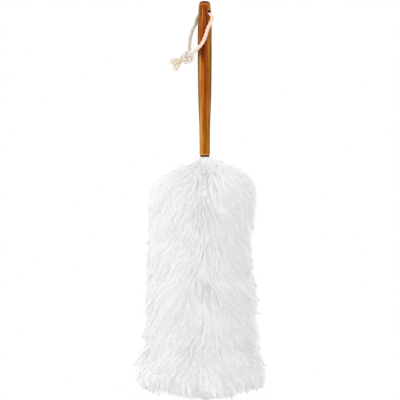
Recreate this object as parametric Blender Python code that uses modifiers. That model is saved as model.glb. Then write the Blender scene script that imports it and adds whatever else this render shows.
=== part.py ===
"""Microfibre duster with a turned wooden handle, in metres, +Z up.

The origin is the middle of the handle, on its axis, where the hand holds it.
The handle points up and the pile hangs below it. -Y is the front, +X the right-hand side.
A steel wire, bent double and twisted, is glued into the handle's bore and clamps the pile.
A cotton cord goes through the cross hole near the butt, and one knot ties both of its ends.
"""

import math

import bmesh
import bpy
import numpy as np
from mathutils import Matrix, Vector

MM = 0.001
DEG = math.pi / 180.0
TURN = 2.0 * math.pi

PIECE_GAP = 0.3 * MM
CUT_OVERRUN = 1 * MM
WELD_REACH = 0.001 * MM
GAP_SAMPLE_SHARE = 0.25
GAP_SKIP_SHARE = 1.8

# Handle, turned from one piece of wood
HANDLE_LENGTH = 234 * MM
BUTT_DIAMETER = 16.4 * MM
BUTT_FLAT_DIAMETER = 10 * MM
BUTT_EDGE_HEIGHT = 3.4 * MM
GRIP_DIAMETER = 20.2 * MM
NECK_DIAMETER = 13.6 * MM
NECK_CHAMFER = 0.9 * MM
GRIP_START_SHARE = 0.18
GRIP_END_SHARE = 0.38
NECK_EASE = 0.85
HANDLE_STEPS = 40

# Cross hole for the cord, near the butt
CORD_DIAMETER = 5 * MM
CORD_HOLE_CLEARANCE = 0.7 * MM
CORD_HOLE_DROP = 19 * MM
CORD_HOLE_TURN = -36.87 * DEG
CORD_MOUTH_FLARE = 2 * MM
CORD_HOLE_STEPS = 24

# Wire core, one wire bent double at the pile's tip
WIRE_DIAMETER = 2.2 * MM
WIRE_LEG_GAP = 0.6 * MM
WIRE_PITCH = 28 * MM
WIRE_SEAT_DEPTH = 38 * MM
WIRE_BORE_CLEARANCE = 0.35 * MM
WIRE_BORE_POINT_SHARE = 0.5
WIRE_TIP_REACH = 3 * MM
WIRE_POINTS_PER_TURN = 9
WIRE_BEND_POINTS = 5
WIRE_RESOLUTION = 1

# Pile, clamped at its roots along the wire
PILE_LENGTH = 114 * MM
PILE_CORE_LENGTH = 245 * MM
PILE_CORE_DIAMETER = 16 * MM
PILE_END_COLLAR = 4 * MM
PILE_CORE_BASE_DIAMETER = 9 * MM
PILE_CORE_STEPS = 12
PILE_TIERS = 10
PILE_LEFT_SHARE = 0.07
PILE_RAGGED_SHARE = 0.045
PILE_END_TRIM_SHARE = 0.12
PILE_SEED = 5

# Locks of the pile
LOCKS_PER_TIER = 25
END_LOCKS = 50
LOCK_WIDTH = 10.5 * MM
LOCK_THICKNESS = 3.4 * MM
LOCK_ROOT_DEPTH = 2.2 * MM
LOCK_STATION_SHARES = (0.0, 0.3, 0.66, 1.0)
LOCK_SIZE_SHARES = (0.22, 0.62, 1.0, 0.0)
GOLDEN_TURN = 137.508 * DEG

# Droop below the level at a lock's root and at its tip, for the top, the waist and the bottom
TOP_DROOP = (18 * DEG, 86 * DEG)
WAIST_DROOP = (22 * DEG, 80 * DEG)
BOTTOM_DROOP = (30 * DEG, 50 * DEG)
END_DROOP = (84 * DEG, 90 * DEG)
WAIST_SHARE = 0.6
DROOP_EASE = 1.5

# Hanging cord's own points: right, back and up from the middle of the cross hole
FRONT_FALL_ROUTE = (
    (10.7 * MM, -10 * MM, -9.8 * MM),
    (7.4 * MM, -11.9 * MM, -17.2 * MM),
    (4.4 * MM, -12.8 * MM, -24 * MM),
    (2 * MM, -13.6 * MM, -32 * MM),
    (-1.1 * MM, -14 * MM, -40.5 * MM),
    (-5.6 * MM, -14 * MM, -48 * MM),
    (-10.8 * MM, -13.6 * MM, -53.6 * MM),
    (-15.3 * MM, -12.9 * MM, -57.6 * MM),
    (-19.3 * MM, -12 * MM, -61.3 * MM),
)
BACK_FALL_ROUTE = (
    (-12.6 * MM, 8 * MM, -9.3 * MM),
    (-13.7 * MM, 5.9 * MM, -14.8 * MM),
    (-17.6 * MM, 3.3 * MM, -22.6 * MM),
    (-20 * MM, 0.4 * MM, -30 * MM),
    (-21.8 * MM, -2.4 * MM, -37.5 * MM),
    (-22.7 * MM, -5.2 * MM, -44.5 * MM),
    (-23 * MM, -7.6 * MM, -51 * MM),
    (-22.7 * MM, -9.7 * MM, -55.6 * MM),
)
CORD_BEND_RADIUS = 9 * MM
CORD_BEND_START = 5.4 * MM
CORD_BEND_TURNS = (30 * DEG, 60 * DEG)
CORD_POINT_SPACING = 3.6 * MM
CORD_RESOLUTION = 3

# Knot and frayed ends, in the same frame as the cord's points
KNOT_PLACE = (-25.8 * MM, -11.4 * MM, -67.7 * MM)
KNOT_CORD_DIAMETER = 3.7 * MM
KNOT_LEAN = 43 * DEG
KNOT_RING_SHARE = 1.3
KNOT_TUBE_SHARE = 0.6
KNOT_DEPTH_SHARE = 0.64
KNOT_OPENING = 20 * DEG
KNOT_LOOP_POINTS = 40
KNOT_END_SHARES = ((1.6, -2.8, 0.55), (1.6, -2.4, 0.6), (1.95, -1.4, 0.7), (2.05, -0.4, 0.75))
KNOT_RESOLUTION = 2
TAIL_STUB_LENGTH = 3 * MM
TAIL_STUB_DIAMETER = 4.4 * MM
TAIL_LENGTH = 14 * MM
TAIL_STRANDS = 8
TAIL_STRAND_WIDTH = 1.8 * MM
TAIL_STRAND_THICKNESS = 0.9 * MM
TAIL_UPPER_LEAN = 12 * DEG
TAIL_LOWER_LEAN = 64 * DEG
TAIL_SPREAD = 20 * DEG
TAIL_ROOT_SHARE = 0.8
TAIL_STATION_SHARES = (0.0, 0.55, 1.0)
TAIL_SIZE_SHARES = (0.45, 1.0, 0.0)
TAIL_RAGGED_SHARE = 0.3
TAIL_STEPS = 10

HANDLE_TOP = HANDLE_LENGTH / 2
HANDLE_FOOT = -HANDLE_LENGTH / 2
HOLE_AXIS = Vector((math.cos(CORD_HOLE_TURN), math.sin(CORD_HOLE_TURN), 0))
HOLE_PLACE = Vector((0, 0, HANDLE_TOP - CORD_HOLE_DROP))
TWIST_RADIUS = (WIRE_DIAMETER + WIRE_LEG_GAP) / 2
WIRE_BORE_RADIUS = TWIST_RADIUS + WIRE_DIAMETER / 2 + WIRE_BORE_CLEARANCE
PILE_TOP = HANDLE_FOOT - PIECE_GAP
PILE_FOOT = PILE_TOP - PILE_CORE_LENGTH
TIER_HEIGHT = PILE_CORE_LENGTH / PILE_TIERS
CORE_RADIUS = PILE_CORE_DIAMETER / 2
CORE_TIP = PILE_FOOT - PILE_END_COLLAR - CORE_RADIUS


def new_collection(name):
    """Add an empty collection to the scene."""
    collection = bpy.data.collections.new(name)
    bpy.context.scene.collection.children.link(collection)
    return collection


def new_material(name, colour, roughness, metallic=0.0):
    """Make a plain surface of one colour."""
    material = bpy.data.materials.new(name)
    material.use_nodes = True
    shader = material.node_tree.nodes["Principled BSDF"]
    shader.inputs["Base Color"].default_value = (*colour, 1)
    shader.inputs["Roughness"].default_value = roughness
    shader.inputs["Metallic"].default_value = metallic
    material.diffuse_color = (*colour, 1)
    return material


def add_object(name, data, collection, material=None):
    """Link an object that holds the given mesh or curve."""
    piece = bpy.data.objects.new(name, data)
    collection.objects.link(piece)
    if material:
        data.materials.append(material)
    return piece


def as_cutter(piece):
    """Show a helper shape as wire and keep it out of renders."""
    piece.display_type = "WIRE"
    piece.hide_render = True
    return piece


def turned(name, outline, steps, collection, material=None, closed=False):
    """Turn an outline of (radius, height) points, given top to bottom, about its own Z axis."""
    mesh = bpy.data.meshes.new(name)
    count = len(outline)
    edges = [(i, i + 1) for i in range(count - 1)]
    if closed:
        edges.append((count - 1, 0))
    mesh.from_pydata([(radius, 0, height) for radius, height in outline], edges, [])
    piece = add_object(name, mesh, collection, material)
    screw = piece.modifiers.new("turn", "SCREW")
    screw.axis = "Z"
    screw.angle = TURN
    screw.steps = steps
    screw.render_steps = steps
    screw.use_merge_vertices = True
    screw.merge_threshold = WELD_REACH
    screw.use_smooth_shade = True
    return piece


def boolean(piece, other, operation):
    """Cut a piece with a helper shape, or join the two."""
    modifier = piece.modifiers.new(other.name, "BOOLEAN")
    modifier.operation = operation
    modifier.object = other
    modifier.solver = "EXACT"
    return modifier


def smooth_line(points, spacing):
    """Read evenly spaced points from one smooth curve through the given points."""
    line = [Vector(point) for point in points]
    padded = [2 * line[0] - line[1], *line, 2 * line[-1] - line[-2]]
    fine = []
    samples = 16
    for before, start, end, after in zip(padded, padded[1:], padded[2:], padded[3:]):
        for step in range(samples):
            t = step / samples
            fine.append(0.5 * (2 * start + (end - before) * t
                               + (2 * before - 5 * start + 4 * end - after) * t ** 2
                               + (3 * start - before - 3 * end + after) * t ** 3))
    fine.append(line[-1])
    reach = np.cumsum([0] + [(b - a).length for a, b in zip(fine, fine[1:])])
    count = max(2, round(reach[-1] / spacing) + 1)
    places = np.linspace(0, reach[-1], count)
    columns = [np.interp(places, reach, [point[axis] for point in fine]) for axis in range(3)]
    return [Vector(point) for point in zip(*columns)]


def line_length(points):
    """Length of a run of points."""
    return sum((b - a).length for a, b in zip(points, points[1:]))


def least_gap(points, diameter):
    """Least free gap between turns of a tube that follows the points."""
    fine = np.array(smooth_line(points, diameter * GAP_SAMPLE_SHARE))
    reach = np.concatenate([[0], np.cumsum(np.linalg.norm(np.diff(fine, axis=0), axis=1))])
    apart = np.linalg.norm(fine[:, None] - fine[None], axis=2)
    along = np.abs(reach[:, None] - reach[None])
    return apart[along > diameter * GAP_SKIP_SHARE].min() - diameter


def tube(name, points, diameter, resolution, collection, material):
    """Sweep a round section with closed ends along a run of points."""
    curve = bpy.data.curves.new(name, "CURVE")
    curve.dimensions = "3D"
    curve.bevel_depth = diameter / 2
    curve.bevel_resolution = resolution
    curve.use_fill_caps = True
    spline = curve.splines.new("POLY")
    spline.points.add(len(points) - 1)
    for slot, point in zip(spline.points, points):
        slot.co = (*point, 1)
    spline.use_smooth = True
    return add_object(name, curve, collection, material)


def strands(name, paths, width, thickness, size_shares, collection):
    """Sweep one flat three-sided section along many paths, each swollen and drawn to a point."""
    section = bpy.data.curves.new(name + "_section", "CURVE")
    section.dimensions = "2D"
    section.fill_mode = "NONE"
    outline = section.splines.new("POLY")
    outline.points.add(2)
    corners = ((-width / 2, -thickness / 3), (width / 2, -thickness / 3), (0, 2 * thickness / 3))
    for slot, corner in zip(outline.points, corners):
        slot.co = (*corner, 0, 1)
    outline.use_cyclic_u = True
    section_piece = as_cutter(add_object(name + "_section", section, collection))
    curve = bpy.data.curves.new(name, "CURVE")
    curve.dimensions = "3D"
    curve.twist_mode = "Z_UP"
    curve.bevel_mode = "OBJECT"
    curve.bevel_object = section_piece
    curve.use_fill_caps = True
    for path in paths:
        spline = curve.splines.new("POLY")
        spline.points.add(len(path) - 1)
        for slot, point, share in zip(spline.points, path, size_shares):
            slot.co = (*point, 1)
            slot.radius = share
    return mesh_from_curve(add_object(name, curve, collection), collection)


def mesh_from_curve(piece, collection):
    """Turn a swept curve into a mesh whose end caps are welded on."""
    evaluated = piece.evaluated_get(bpy.context.evaluated_depsgraph_get())
    mesh = bpy.data.meshes.new_from_object(evaluated)
    work = bmesh.new()
    work.from_mesh(mesh)
    bmesh.ops.remove_doubles(work, verts=work.verts, dist=WELD_REACH)
    bmesh.ops.recalc_face_normals(work, faces=work.faces)
    work.to_mesh(mesh)
    work.free()
    name = piece.name
    place = piece.matrix_world.copy()
    bpy.data.objects.remove(piece)
    joined = add_object(name, mesh, collection)
    joined.matrix_world = place
    return joined


def cosine_ease(share):
    """Ease from 0 to 1 with level ends."""
    return (1 - math.cos(math.pi * share)) / 2


def handle_outline():
    """Outline of the handle, from the middle of the butt round to the bottom of the wire's bore."""
    butt_radius = BUTT_DIAMETER / 2
    flat_radius = BUTT_FLAT_DIAMETER / 2
    grip_radius = GRIP_DIAMETER / 2
    neck_radius = NECK_DIAMETER / 2
    edge = HANDLE_TOP - BUTT_EDGE_HEIGHT
    outline = [(0, HANDLE_TOP)]
    corner_steps = 4
    for step in range(corner_steps + 1):
        turn = step / corner_steps * math.pi / 2
        radius = flat_radius + (butt_radius - flat_radius) * math.sin(turn)
        outline.append((radius, edge + BUTT_EDGE_HEIGHT * math.cos(turn)))
    grip_start = HANDLE_TOP - GRIP_START_SHARE * HANDLE_LENGTH
    swell_steps = 5
    for step in range(1, swell_steps + 1):
        share = step / swell_steps
        swell = math.sin(share * math.pi / 2)
        height = edge + (grip_start - edge) * share
        outline.append((butt_radius + (grip_radius - butt_radius) * swell, height))
    grip_end = HANDLE_TOP - GRIP_END_SHARE * HANDLE_LENGTH
    neck_top = HANDLE_FOOT + NECK_CHAMFER
    taper_steps = 10
    for step in range(taper_steps + 1):
        share = step / taper_steps
        fall = cosine_ease(share ** NECK_EASE)
        height = grip_end + (neck_top - grip_end) * share
        outline.append((grip_radius + (neck_radius - grip_radius) * fall, height))
    outline.append((neck_radius - NECK_CHAMFER, HANDLE_FOOT))
    bore_top = HANDLE_FOOT + WIRE_SEAT_DEPTH + WIRE_BORE_CLEARANCE
    outline.append((WIRE_BORE_RADIUS, HANDLE_FOOT))
    outline.append((WIRE_BORE_RADIUS, bore_top))
    outline.append((0, bore_top + WIRE_BORE_RADIUS * WIRE_BORE_POINT_SHARE))
    return outline


def cord_hole_cutter(collection):
    """Round cutter for the cord's hole, flared where it meets the wood's surface."""
    radius = CORD_DIAMETER / 2 + CORD_HOLE_CLEARANCE
    wood_radius = GRIP_DIAMETER / 2
    end = wood_radius + CUT_OVERRUN
    mouth = BUTT_DIAMETER / 2 - CORD_MOUTH_FLARE / 2
    flared = radius + end - mouth
    outline = [(0, end), (flared, end), (radius, mouth), (radius, -mouth), (flared, -end), (0, -end)]
    cutter = as_cutter(turned("cord_hole_cutter", outline, CORD_HOLE_STEPS, collection))
    cutter.location = HOLE_PLACE
    cutter.rotation_mode = "QUATERNION"
    cutter.rotation_quaternion = HOLE_AXIS.to_track_quat("Z", "Y")
    return cutter


def make_handle(parts, cutters):
    """Turned handle with a cross hole for the cord and a blind bore for the wire."""
    wood = new_material("oiled_wood", (0.47, 0.2, 0.06), 0.42)
    handle = turned("handle", handle_outline(), HANDLE_STEPS, parts, wood)
    boolean(handle, cord_hole_cutter(cutters), "DIFFERENCE")
    return handle


def wire_points():
    """Centre line of the wire: down one leg, round the bend at the tip and up the other leg."""
    top = HANDLE_FOOT + WIRE_SEAT_DEPTH
    foot = CORE_TIP - WIRE_TIP_REACH + TWIST_RADIUS + WIRE_DIAMETER / 2
    steps = round((top - foot) / WIRE_PITCH * WIRE_POINTS_PER_TURN)
    leg = []
    for step in range(steps + 1):
        drop = (top - foot) * step / steps
        turn = drop / WIRE_PITCH * TURN
        leg.append(Vector((TWIST_RADIUS * math.cos(turn), TWIST_RADIUS * math.sin(turn), top - drop)))
    side = Vector((leg[-1].x, leg[-1].y, 0))
    bend = []
    for step in range(1, WIRE_BEND_POINTS):
        turn = step / WIRE_BEND_POINTS * math.pi
        bend.append(side * math.cos(turn) + Vector((0, 0, foot - TWIST_RADIUS * math.sin(turn))))
    back = [Vector((-point.x, -point.y, point.z)) for point in reversed(leg)]
    return leg + bend + back


def make_core_wire(parts):
    """Twisted pair of wire legs, in one unbroken piece."""
    steel = new_material("wire_steel", (0.55, 0.55, 0.56), 0.35, 1.0)
    points = wire_points()
    print(f"core wire: {line_length(points):.4f} m, least gap {least_gap(points, WIRE_DIAMETER):.6f} m")
    return tube("core_wire", points, WIRE_DIAMETER, WIRE_RESOLUTION, parts, steel)


def droop_at(share):
    """Root and tip droop of a lock, by its share of the way down the pile."""
    if share < WAIST_SHARE:
        start, end, mix = TOP_DROOP, WAIST_DROOP, share / WAIST_SHARE
    else:
        start, end, mix = WAIST_DROOP, BOTTOM_DROOP, cosine_ease((share - WAIST_SHARE) / (1 - WAIST_SHARE))
    return [a + (b - a) * mix for a, b in zip(start, end)]


def lock_path(root_radius, root_height, azimuth, droop, length):
    """Points along one lock, which curves down in its own upright plane."""
    outward = Vector((math.cos(azimuth), math.sin(azimuth), 0))
    fine = 60
    place = Vector((0, 0, root_height)) + outward * root_radius
    run = [place]
    for step in range(fine):
        share = (step + 0.5) / fine
        angle = droop[0] + (droop[1] - droop[0]) * share ** DROOP_EASE
        place = place + (outward * math.cos(angle) - Vector((0, 0, math.sin(angle)))) * length / fine
        run.append(place)
    return [run[round(share * fine)] for share in LOCK_STATION_SHARES]


def lock_length(azimuth, chance):
    """Length of a lock: a little longer on the left, and ragged at the tips."""
    leftward = -math.cos(azimuth)
    return PILE_LENGTH * (1 + PILE_LEFT_SHARE * leftward + PILE_RAGGED_SHARE * chance.uniform(-1, 1))


def tier_outline(top, foot):
    """Outline of one slice of the clamped roots, with the wire's bore."""
    return [(CORE_RADIUS, top), (CORE_RADIUS, foot), (WIRE_BORE_RADIUS, foot), (WIRE_BORE_RADIUS, top)]


def end_point(share):
    """Radius and height of the last slice's rounded side, by the share of the way round it."""
    base_radius = PILE_CORE_BASE_DIAMETER / 2
    turn = share * math.pi / 2
    radius = base_radius + (CORE_RADIUS - base_radius) * math.cos(turn)
    return radius, CORE_TIP + CORE_RADIUS * (1 - math.sin(turn))


def end_outline():
    """Outline of the last slice, which narrows to the wire's tip."""
    round_steps = 4
    outline = [(CORE_RADIUS, PILE_FOOT)]
    outline += [end_point(step / round_steps) for step in range(round_steps + 1)]
    return outline + [(WIRE_BORE_RADIUS, CORE_TIP), (WIRE_BORE_RADIUS, PILE_FOOT)]


def side_locks(chance):
    """Paths of the side locks, tier by tier, set in an even spiral round the wire."""
    tiers = []
    margin = LOCK_WIDTH * LOCK_SIZE_SHARES[0]
    step_down = TIER_HEIGHT - PIECE_GAP - 2 * margin
    for tier in range(PILE_TIERS):
        paths = []
        for row in range(LOCKS_PER_TIER):
            index = tier * LOCKS_PER_TIER + row
            height = PILE_TOP - tier * TIER_HEIGHT - margin - step_down * (row + 0.5) / LOCKS_PER_TIER
            azimuth = index * GOLDEN_TURN
            share = (PILE_TOP - height) / PILE_CORE_LENGTH
            length = lock_length(azimuth, chance)
            paths.append(lock_path(CORE_RADIUS - LOCK_ROOT_DEPTH, height, azimuth, droop_at(share), length))
        tiers.append(paths)
    return tiers


def end_locks(chance):
    """Paths of the locks that fan out below the wire's tip."""
    paths = []
    for index in range(END_LOCKS):
        share = (index + 0.5) / END_LOCKS
        droop = [a + (b - a) * math.sqrt(share) for a, b in zip(BOTTOM_DROOP, END_DROOP)]
        radius, height = end_point(share)
        azimuth = index * GOLDEN_TURN
        inward = LOCK_ROOT_DEPTH * math.cos(droop[0])
        upward = LOCK_ROOT_DEPTH * math.sin(droop[0])
        length = lock_length(azimuth, chance) * (1 - PILE_END_TRIM_SHARE * share)
        paths.append(lock_path(radius - inward, height + upward, azimuth, droop, length))
    return paths


def make_pile(parts, cutters):
    """Tiers of pile: each is a slice of clamped roots with its locks grown into it."""
    white = new_material("pile_white", (0.86, 0.86, 0.85), 0.85)
    chance = np.random.default_rng(PILE_SEED)
    tiers = side_locks(chance)
    for number, paths in enumerate(tiers, start=1):
        top = PILE_TOP - (number - 1) * TIER_HEIGHT
        name = f"pile_tier_{number:02d}"
        outline = tier_outline(top, top - TIER_HEIGHT + PIECE_GAP)
        add_tier(name, outline, paths, white, parts, cutters)
    add_tier("pile_end_tuft", end_outline(), end_locks(chance), white, parts, cutters)


def add_tier(name, outline, paths, material, parts, cutters):
    """One slice joined with the locks that leave it."""
    piece = turned(name, outline, PILE_CORE_STEPS, parts, material, closed=True)
    locks = strands(name + "_locks", paths, LOCK_WIDTH, LOCK_THICKNESS, LOCK_SIZE_SHARES, cutters)
    boolean(piece, as_cutter(locks), "UNION")
    return piece


def fall_points(side, route):
    """One fall of the cord: from the middle of the hole, round the mouth and along its route."""
    outward = HOLE_AXIS * side
    points = [outward * PIECE_GAP / 2, outward * CORD_BEND_START / 2, outward * CORD_BEND_START]
    for turn in CORD_BEND_TURNS:
        along = CORD_BEND_START + CORD_BEND_RADIUS * math.sin(turn)
        drop = CORD_BEND_RADIUS * (1 - math.cos(turn))
        points.append(outward * along - Vector((0, 0, drop)))
    points += [Vector(point) for point in route]
    return [HOLE_PLACE + point for point in smooth_line(points, CORD_POINT_SPACING)]


def knot_frame():
    """Place and turn of the knot: local Y runs down the cord and local X up and to the left."""
    down_cord = Vector((-math.sin(KNOT_LEAN), 0, -math.cos(KNOT_LEAN)))
    forward = Vector((0, -1, 0))
    side = down_cord.cross(forward)
    turn = Matrix((side, down_cord, forward)).transposed().to_4x4()
    return Matrix.Translation(HOLE_PLACE + Vector(KNOT_PLACE)) @ turn


def knot_points():
    """Overhand knot: a ring that passes through itself, with one end led in and one led out."""
    lead_in = [Vector(share) * KNOT_CORD_DIAMETER for share in KNOT_END_SHARES]
    loop = []
    for step in range(KNOT_LOOP_POINTS + 1):
        turn = KNOT_OPENING + (TURN - 2 * KNOT_OPENING) * step / KNOT_LOOP_POINTS
        radius = KNOT_RING_SHARE + KNOT_TUBE_SHARE * math.cos(3 * turn)
        height = KNOT_DEPTH_SHARE * math.sin(3 * turn)
        place = Vector((radius * math.cos(2 * turn), radius * math.sin(2 * turn), height))
        loop.append(place * KNOT_CORD_DIAMETER)
    lead_out = [Vector((point.x, -point.y, -point.z)) for point in reversed(lead_in)]
    return lead_in + loop + lead_out


def make_cord(parts):
    """Two falls of the cord and the knot that joins them."""
    cotton = new_material("cord_cotton", (0.8, 0.74, 0.66), 0.9)
    falls = (("cord_front_fall", 1, FRONT_FALL_ROUTE), ("cord_back_fall", -1, BACK_FALL_ROUTE))
    for name, side, route in falls:
        points = fall_points(side, route)
        print(f"{name}: {line_length(points):.4f} m")
        tube(name, points, CORD_DIAMETER, CORD_RESOLUTION, parts, cotton)
    frame = knot_frame()
    points = knot_points()
    print(f"cord_knot: {line_length(points):.4f} m, least gap {least_gap(points, KNOT_CORD_DIAMETER):.6f} m")
    knot = tube("cord_knot", [frame @ point for point in points], KNOT_CORD_DIAMETER, KNOT_RESOLUTION,
                parts, cotton)
    return knot


def tail_paths(root, heading):
    """Frayed yarns that spread from a cut end of the cord."""
    across = heading.orthogonal().normalized()
    paths = []
    for index in range(TAIL_STRANDS):
        share = (index + 0.5) / TAIL_STRANDS
        around = Matrix.Rotation(index * GOLDEN_TURN, 3, heading) @ across
        spread = TAIL_SPREAD * math.sqrt(share)
        start = root + around * TAIL_STUB_DIAMETER / 2 * math.sqrt(share) * TAIL_ROOT_SHARE
        way = heading * math.cos(spread) + around * math.sin(spread)
        length = TAIL_LENGTH * (1 - share * TAIL_RAGGED_SHARE)
        paths.append([start + way * length * station for station in TAIL_STATION_SHARES])
    return paths


def make_tail(name, seat, down_cord, lean, parts, cutters, material):
    """Cut end of the cord: a short stub with its frayed yarns grown into it."""
    heading = Vector((-math.cos(lean), 0, -math.sin(lean)))
    tilt = heading.angle(down_cord)
    root = seat + down_cord * (PIECE_GAP + TAIL_STUB_DIAMETER / 2 * math.sin(tilt))
    outline = [(0, 0), (TAIL_STUB_DIAMETER / 2, 0), (TAIL_STUB_DIAMETER / 2, -TAIL_STUB_LENGTH),
               (0, -TAIL_STUB_LENGTH)]
    stub = turned(name, outline, TAIL_STEPS, parts, material)
    stub.location = root
    stub.rotation_mode = "QUATERNION"
    stub.rotation_quaternion = (-heading).to_track_quat("Z", "Y")
    start = root + heading * TAIL_STUB_LENGTH / 2
    yarns = strands(name + "_yarns", tail_paths(start, heading), TAIL_STRAND_WIDTH,
                    TAIL_STRAND_THICKNESS, TAIL_SIZE_SHARES, cutters)
    boolean(stub, as_cutter(yarns), "UNION")
    return stub


def make_tails(parts, cutters):
    """Both frayed ends, side by side where they leave the knot."""
    cotton = bpy.data.materials["cord_cotton"]
    frame = knot_frame()
    end = frame @ knot_points()[-1]
    down_cord = (frame.to_3x3() @ Vector((0, 1, 0))).normalized()
    across = (frame.to_3x3() @ Vector((0, 0, 1))).normalized()
    apart = (TAIL_STUB_DIAMETER + PIECE_GAP) / 2
    tails = (("cord_tail_upper", 1, TAIL_UPPER_LEAN), ("cord_tail_lower", -1, TAIL_LOWER_LEAN))
    for name, side, lean in tails:
        make_tail(name, end + across * apart * side, down_cord, lean, parts, cutters, cotton)


def main():
    """Build the duster."""
    for item in list(bpy.data.objects):
        bpy.data.objects.remove(item)
    parts = new_collection("microfiber_duster")
    cutters = new_collection("cutters")
    make_handle(parts, cutters)
    make_core_wire(parts)
    make_pile(parts, cutters)
    make_cord(parts)
    make_tails(parts, cutters)


main()
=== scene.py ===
"""Looks of the microfibre duster: studio, oiled handle, white pile and hanging cotton cord.

All lengths are in metres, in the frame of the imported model: +Z up along the handle, -Y the front.
"""

import logging
import math
from collections.abc import Iterable
from dataclasses import dataclass
from enum import Enum

import bpy
import numpy as np
from mathutils import Matrix, Vector


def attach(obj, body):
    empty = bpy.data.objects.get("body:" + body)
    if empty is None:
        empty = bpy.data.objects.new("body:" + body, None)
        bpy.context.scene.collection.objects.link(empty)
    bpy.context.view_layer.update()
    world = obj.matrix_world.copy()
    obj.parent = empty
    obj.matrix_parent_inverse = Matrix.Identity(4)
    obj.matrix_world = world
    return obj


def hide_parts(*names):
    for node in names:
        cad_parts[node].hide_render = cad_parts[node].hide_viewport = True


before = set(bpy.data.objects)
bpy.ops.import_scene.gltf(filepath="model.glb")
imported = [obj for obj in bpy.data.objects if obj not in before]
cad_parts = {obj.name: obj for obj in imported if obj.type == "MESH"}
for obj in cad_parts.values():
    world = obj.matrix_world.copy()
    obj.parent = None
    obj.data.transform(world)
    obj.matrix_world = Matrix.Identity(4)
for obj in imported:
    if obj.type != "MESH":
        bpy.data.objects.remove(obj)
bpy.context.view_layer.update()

MM = 0.001
DEG = math.pi / 180
TURN = 2 * math.pi
GOLDEN_TURN = 137.508 * DEG
CROSS_HOLE = (0.0, 0.0, 98 * MM)
CROSS_HOLE_TURN = -36.87 * DEG
LOG = logging.getLogger("duster")


class Body(Enum):
    """The two moving bodies of the frame."""

    DUSTER = "duster"
    LOOP = "hang_loop"


class Slot(Enum):
    """Material slots of the record, one for each kind of built piece."""

    WOOD = "oiled_wood"
    PILE = "pile_white"
    COTTON = "cord_cotton"


class Term:
    """A socket that takes part in sums, each of which adds a Math node."""

    def __init__(self, graph: "Graph", socket: bpy.types.NodeSocket) -> None:
        """Wrap one output socket."""
        self.graph = graph
        self.socket = socket

    def math(self, operation: str, *values: object) -> "Term":
        """Add a Math node.

        Args:
            operation: Name of the sum.
            values: Terms or numbers, in order.

        Returns:
            The node's output.
        """
        node = self.graph.node("ShaderNodeMath", {"operation": operation}, dict(enumerate(values)))
        return Term(self.graph, node.outputs[0])

    def __add__(self, other: object) -> "Term":
        """Sum of two terms."""
        return self.math("ADD", self, other)

    def __radd__(self, other: object) -> "Term":
        """Sum with a number on the left."""
        return self.math("ADD", other, self)

    def __sub__(self, other: object) -> "Term":
        """Difference of two terms."""
        return self.math("SUBTRACT", self, other)

    def __rsub__(self, other: object) -> "Term":
        """Difference with a number on the left."""
        return self.math("SUBTRACT", other, self)

    def __mul__(self, other: object) -> "Term":
        """Product of two terms."""
        return self.math("MULTIPLY", self, other)

    def __rmul__(self, other: object) -> "Term":
        """Product with a number on the left."""
        return self.math("MULTIPLY", other, self)

    def __truediv__(self, other: object) -> "Term":
        """Quotient of two terms."""
        return self.math("DIVIDE", self, other)

    def __pow__(self, other: object) -> "Term":
        """Power of a term."""
        return self.math("POWER", self, other)

    def sine(self) -> "Term":
        """Sine of a term in radians."""
        return self.math("SINE", self)

    def cosine(self) -> "Term":
        """Cosine of a term in radians."""
        return self.math("COSINE", self)

    def above(self, limit: object) -> "Term":
        """1 where the term is over a limit, and 0 elsewhere."""
        return self.math("GREATER_THAN", self, limit)

    def at_most(self, limit: object) -> "Term":
        """The term, or the limit where that is less."""
        return self.math("MINIMUM", self, limit)

    def fraction(self) -> "Term":
        """What the term has over a whole number."""
        return self.math("FRACT", self)

    def ramp(self, low: float, high: float) -> "Term":
        """Ease from 0 at low to 1 at high.

        Args:
            low: Value that gives 0.
            high: Value that gives 1.

        Returns:
            The eased term.
        """
        sockets = {"Value": self, "From Min": low, "From Max": high}
        node = self.graph.node("ShaderNodeMapRange", {"interpolation_type": "SMOOTHSTEP"}, sockets)
        return Term(self.graph, node.outputs[0])


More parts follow.
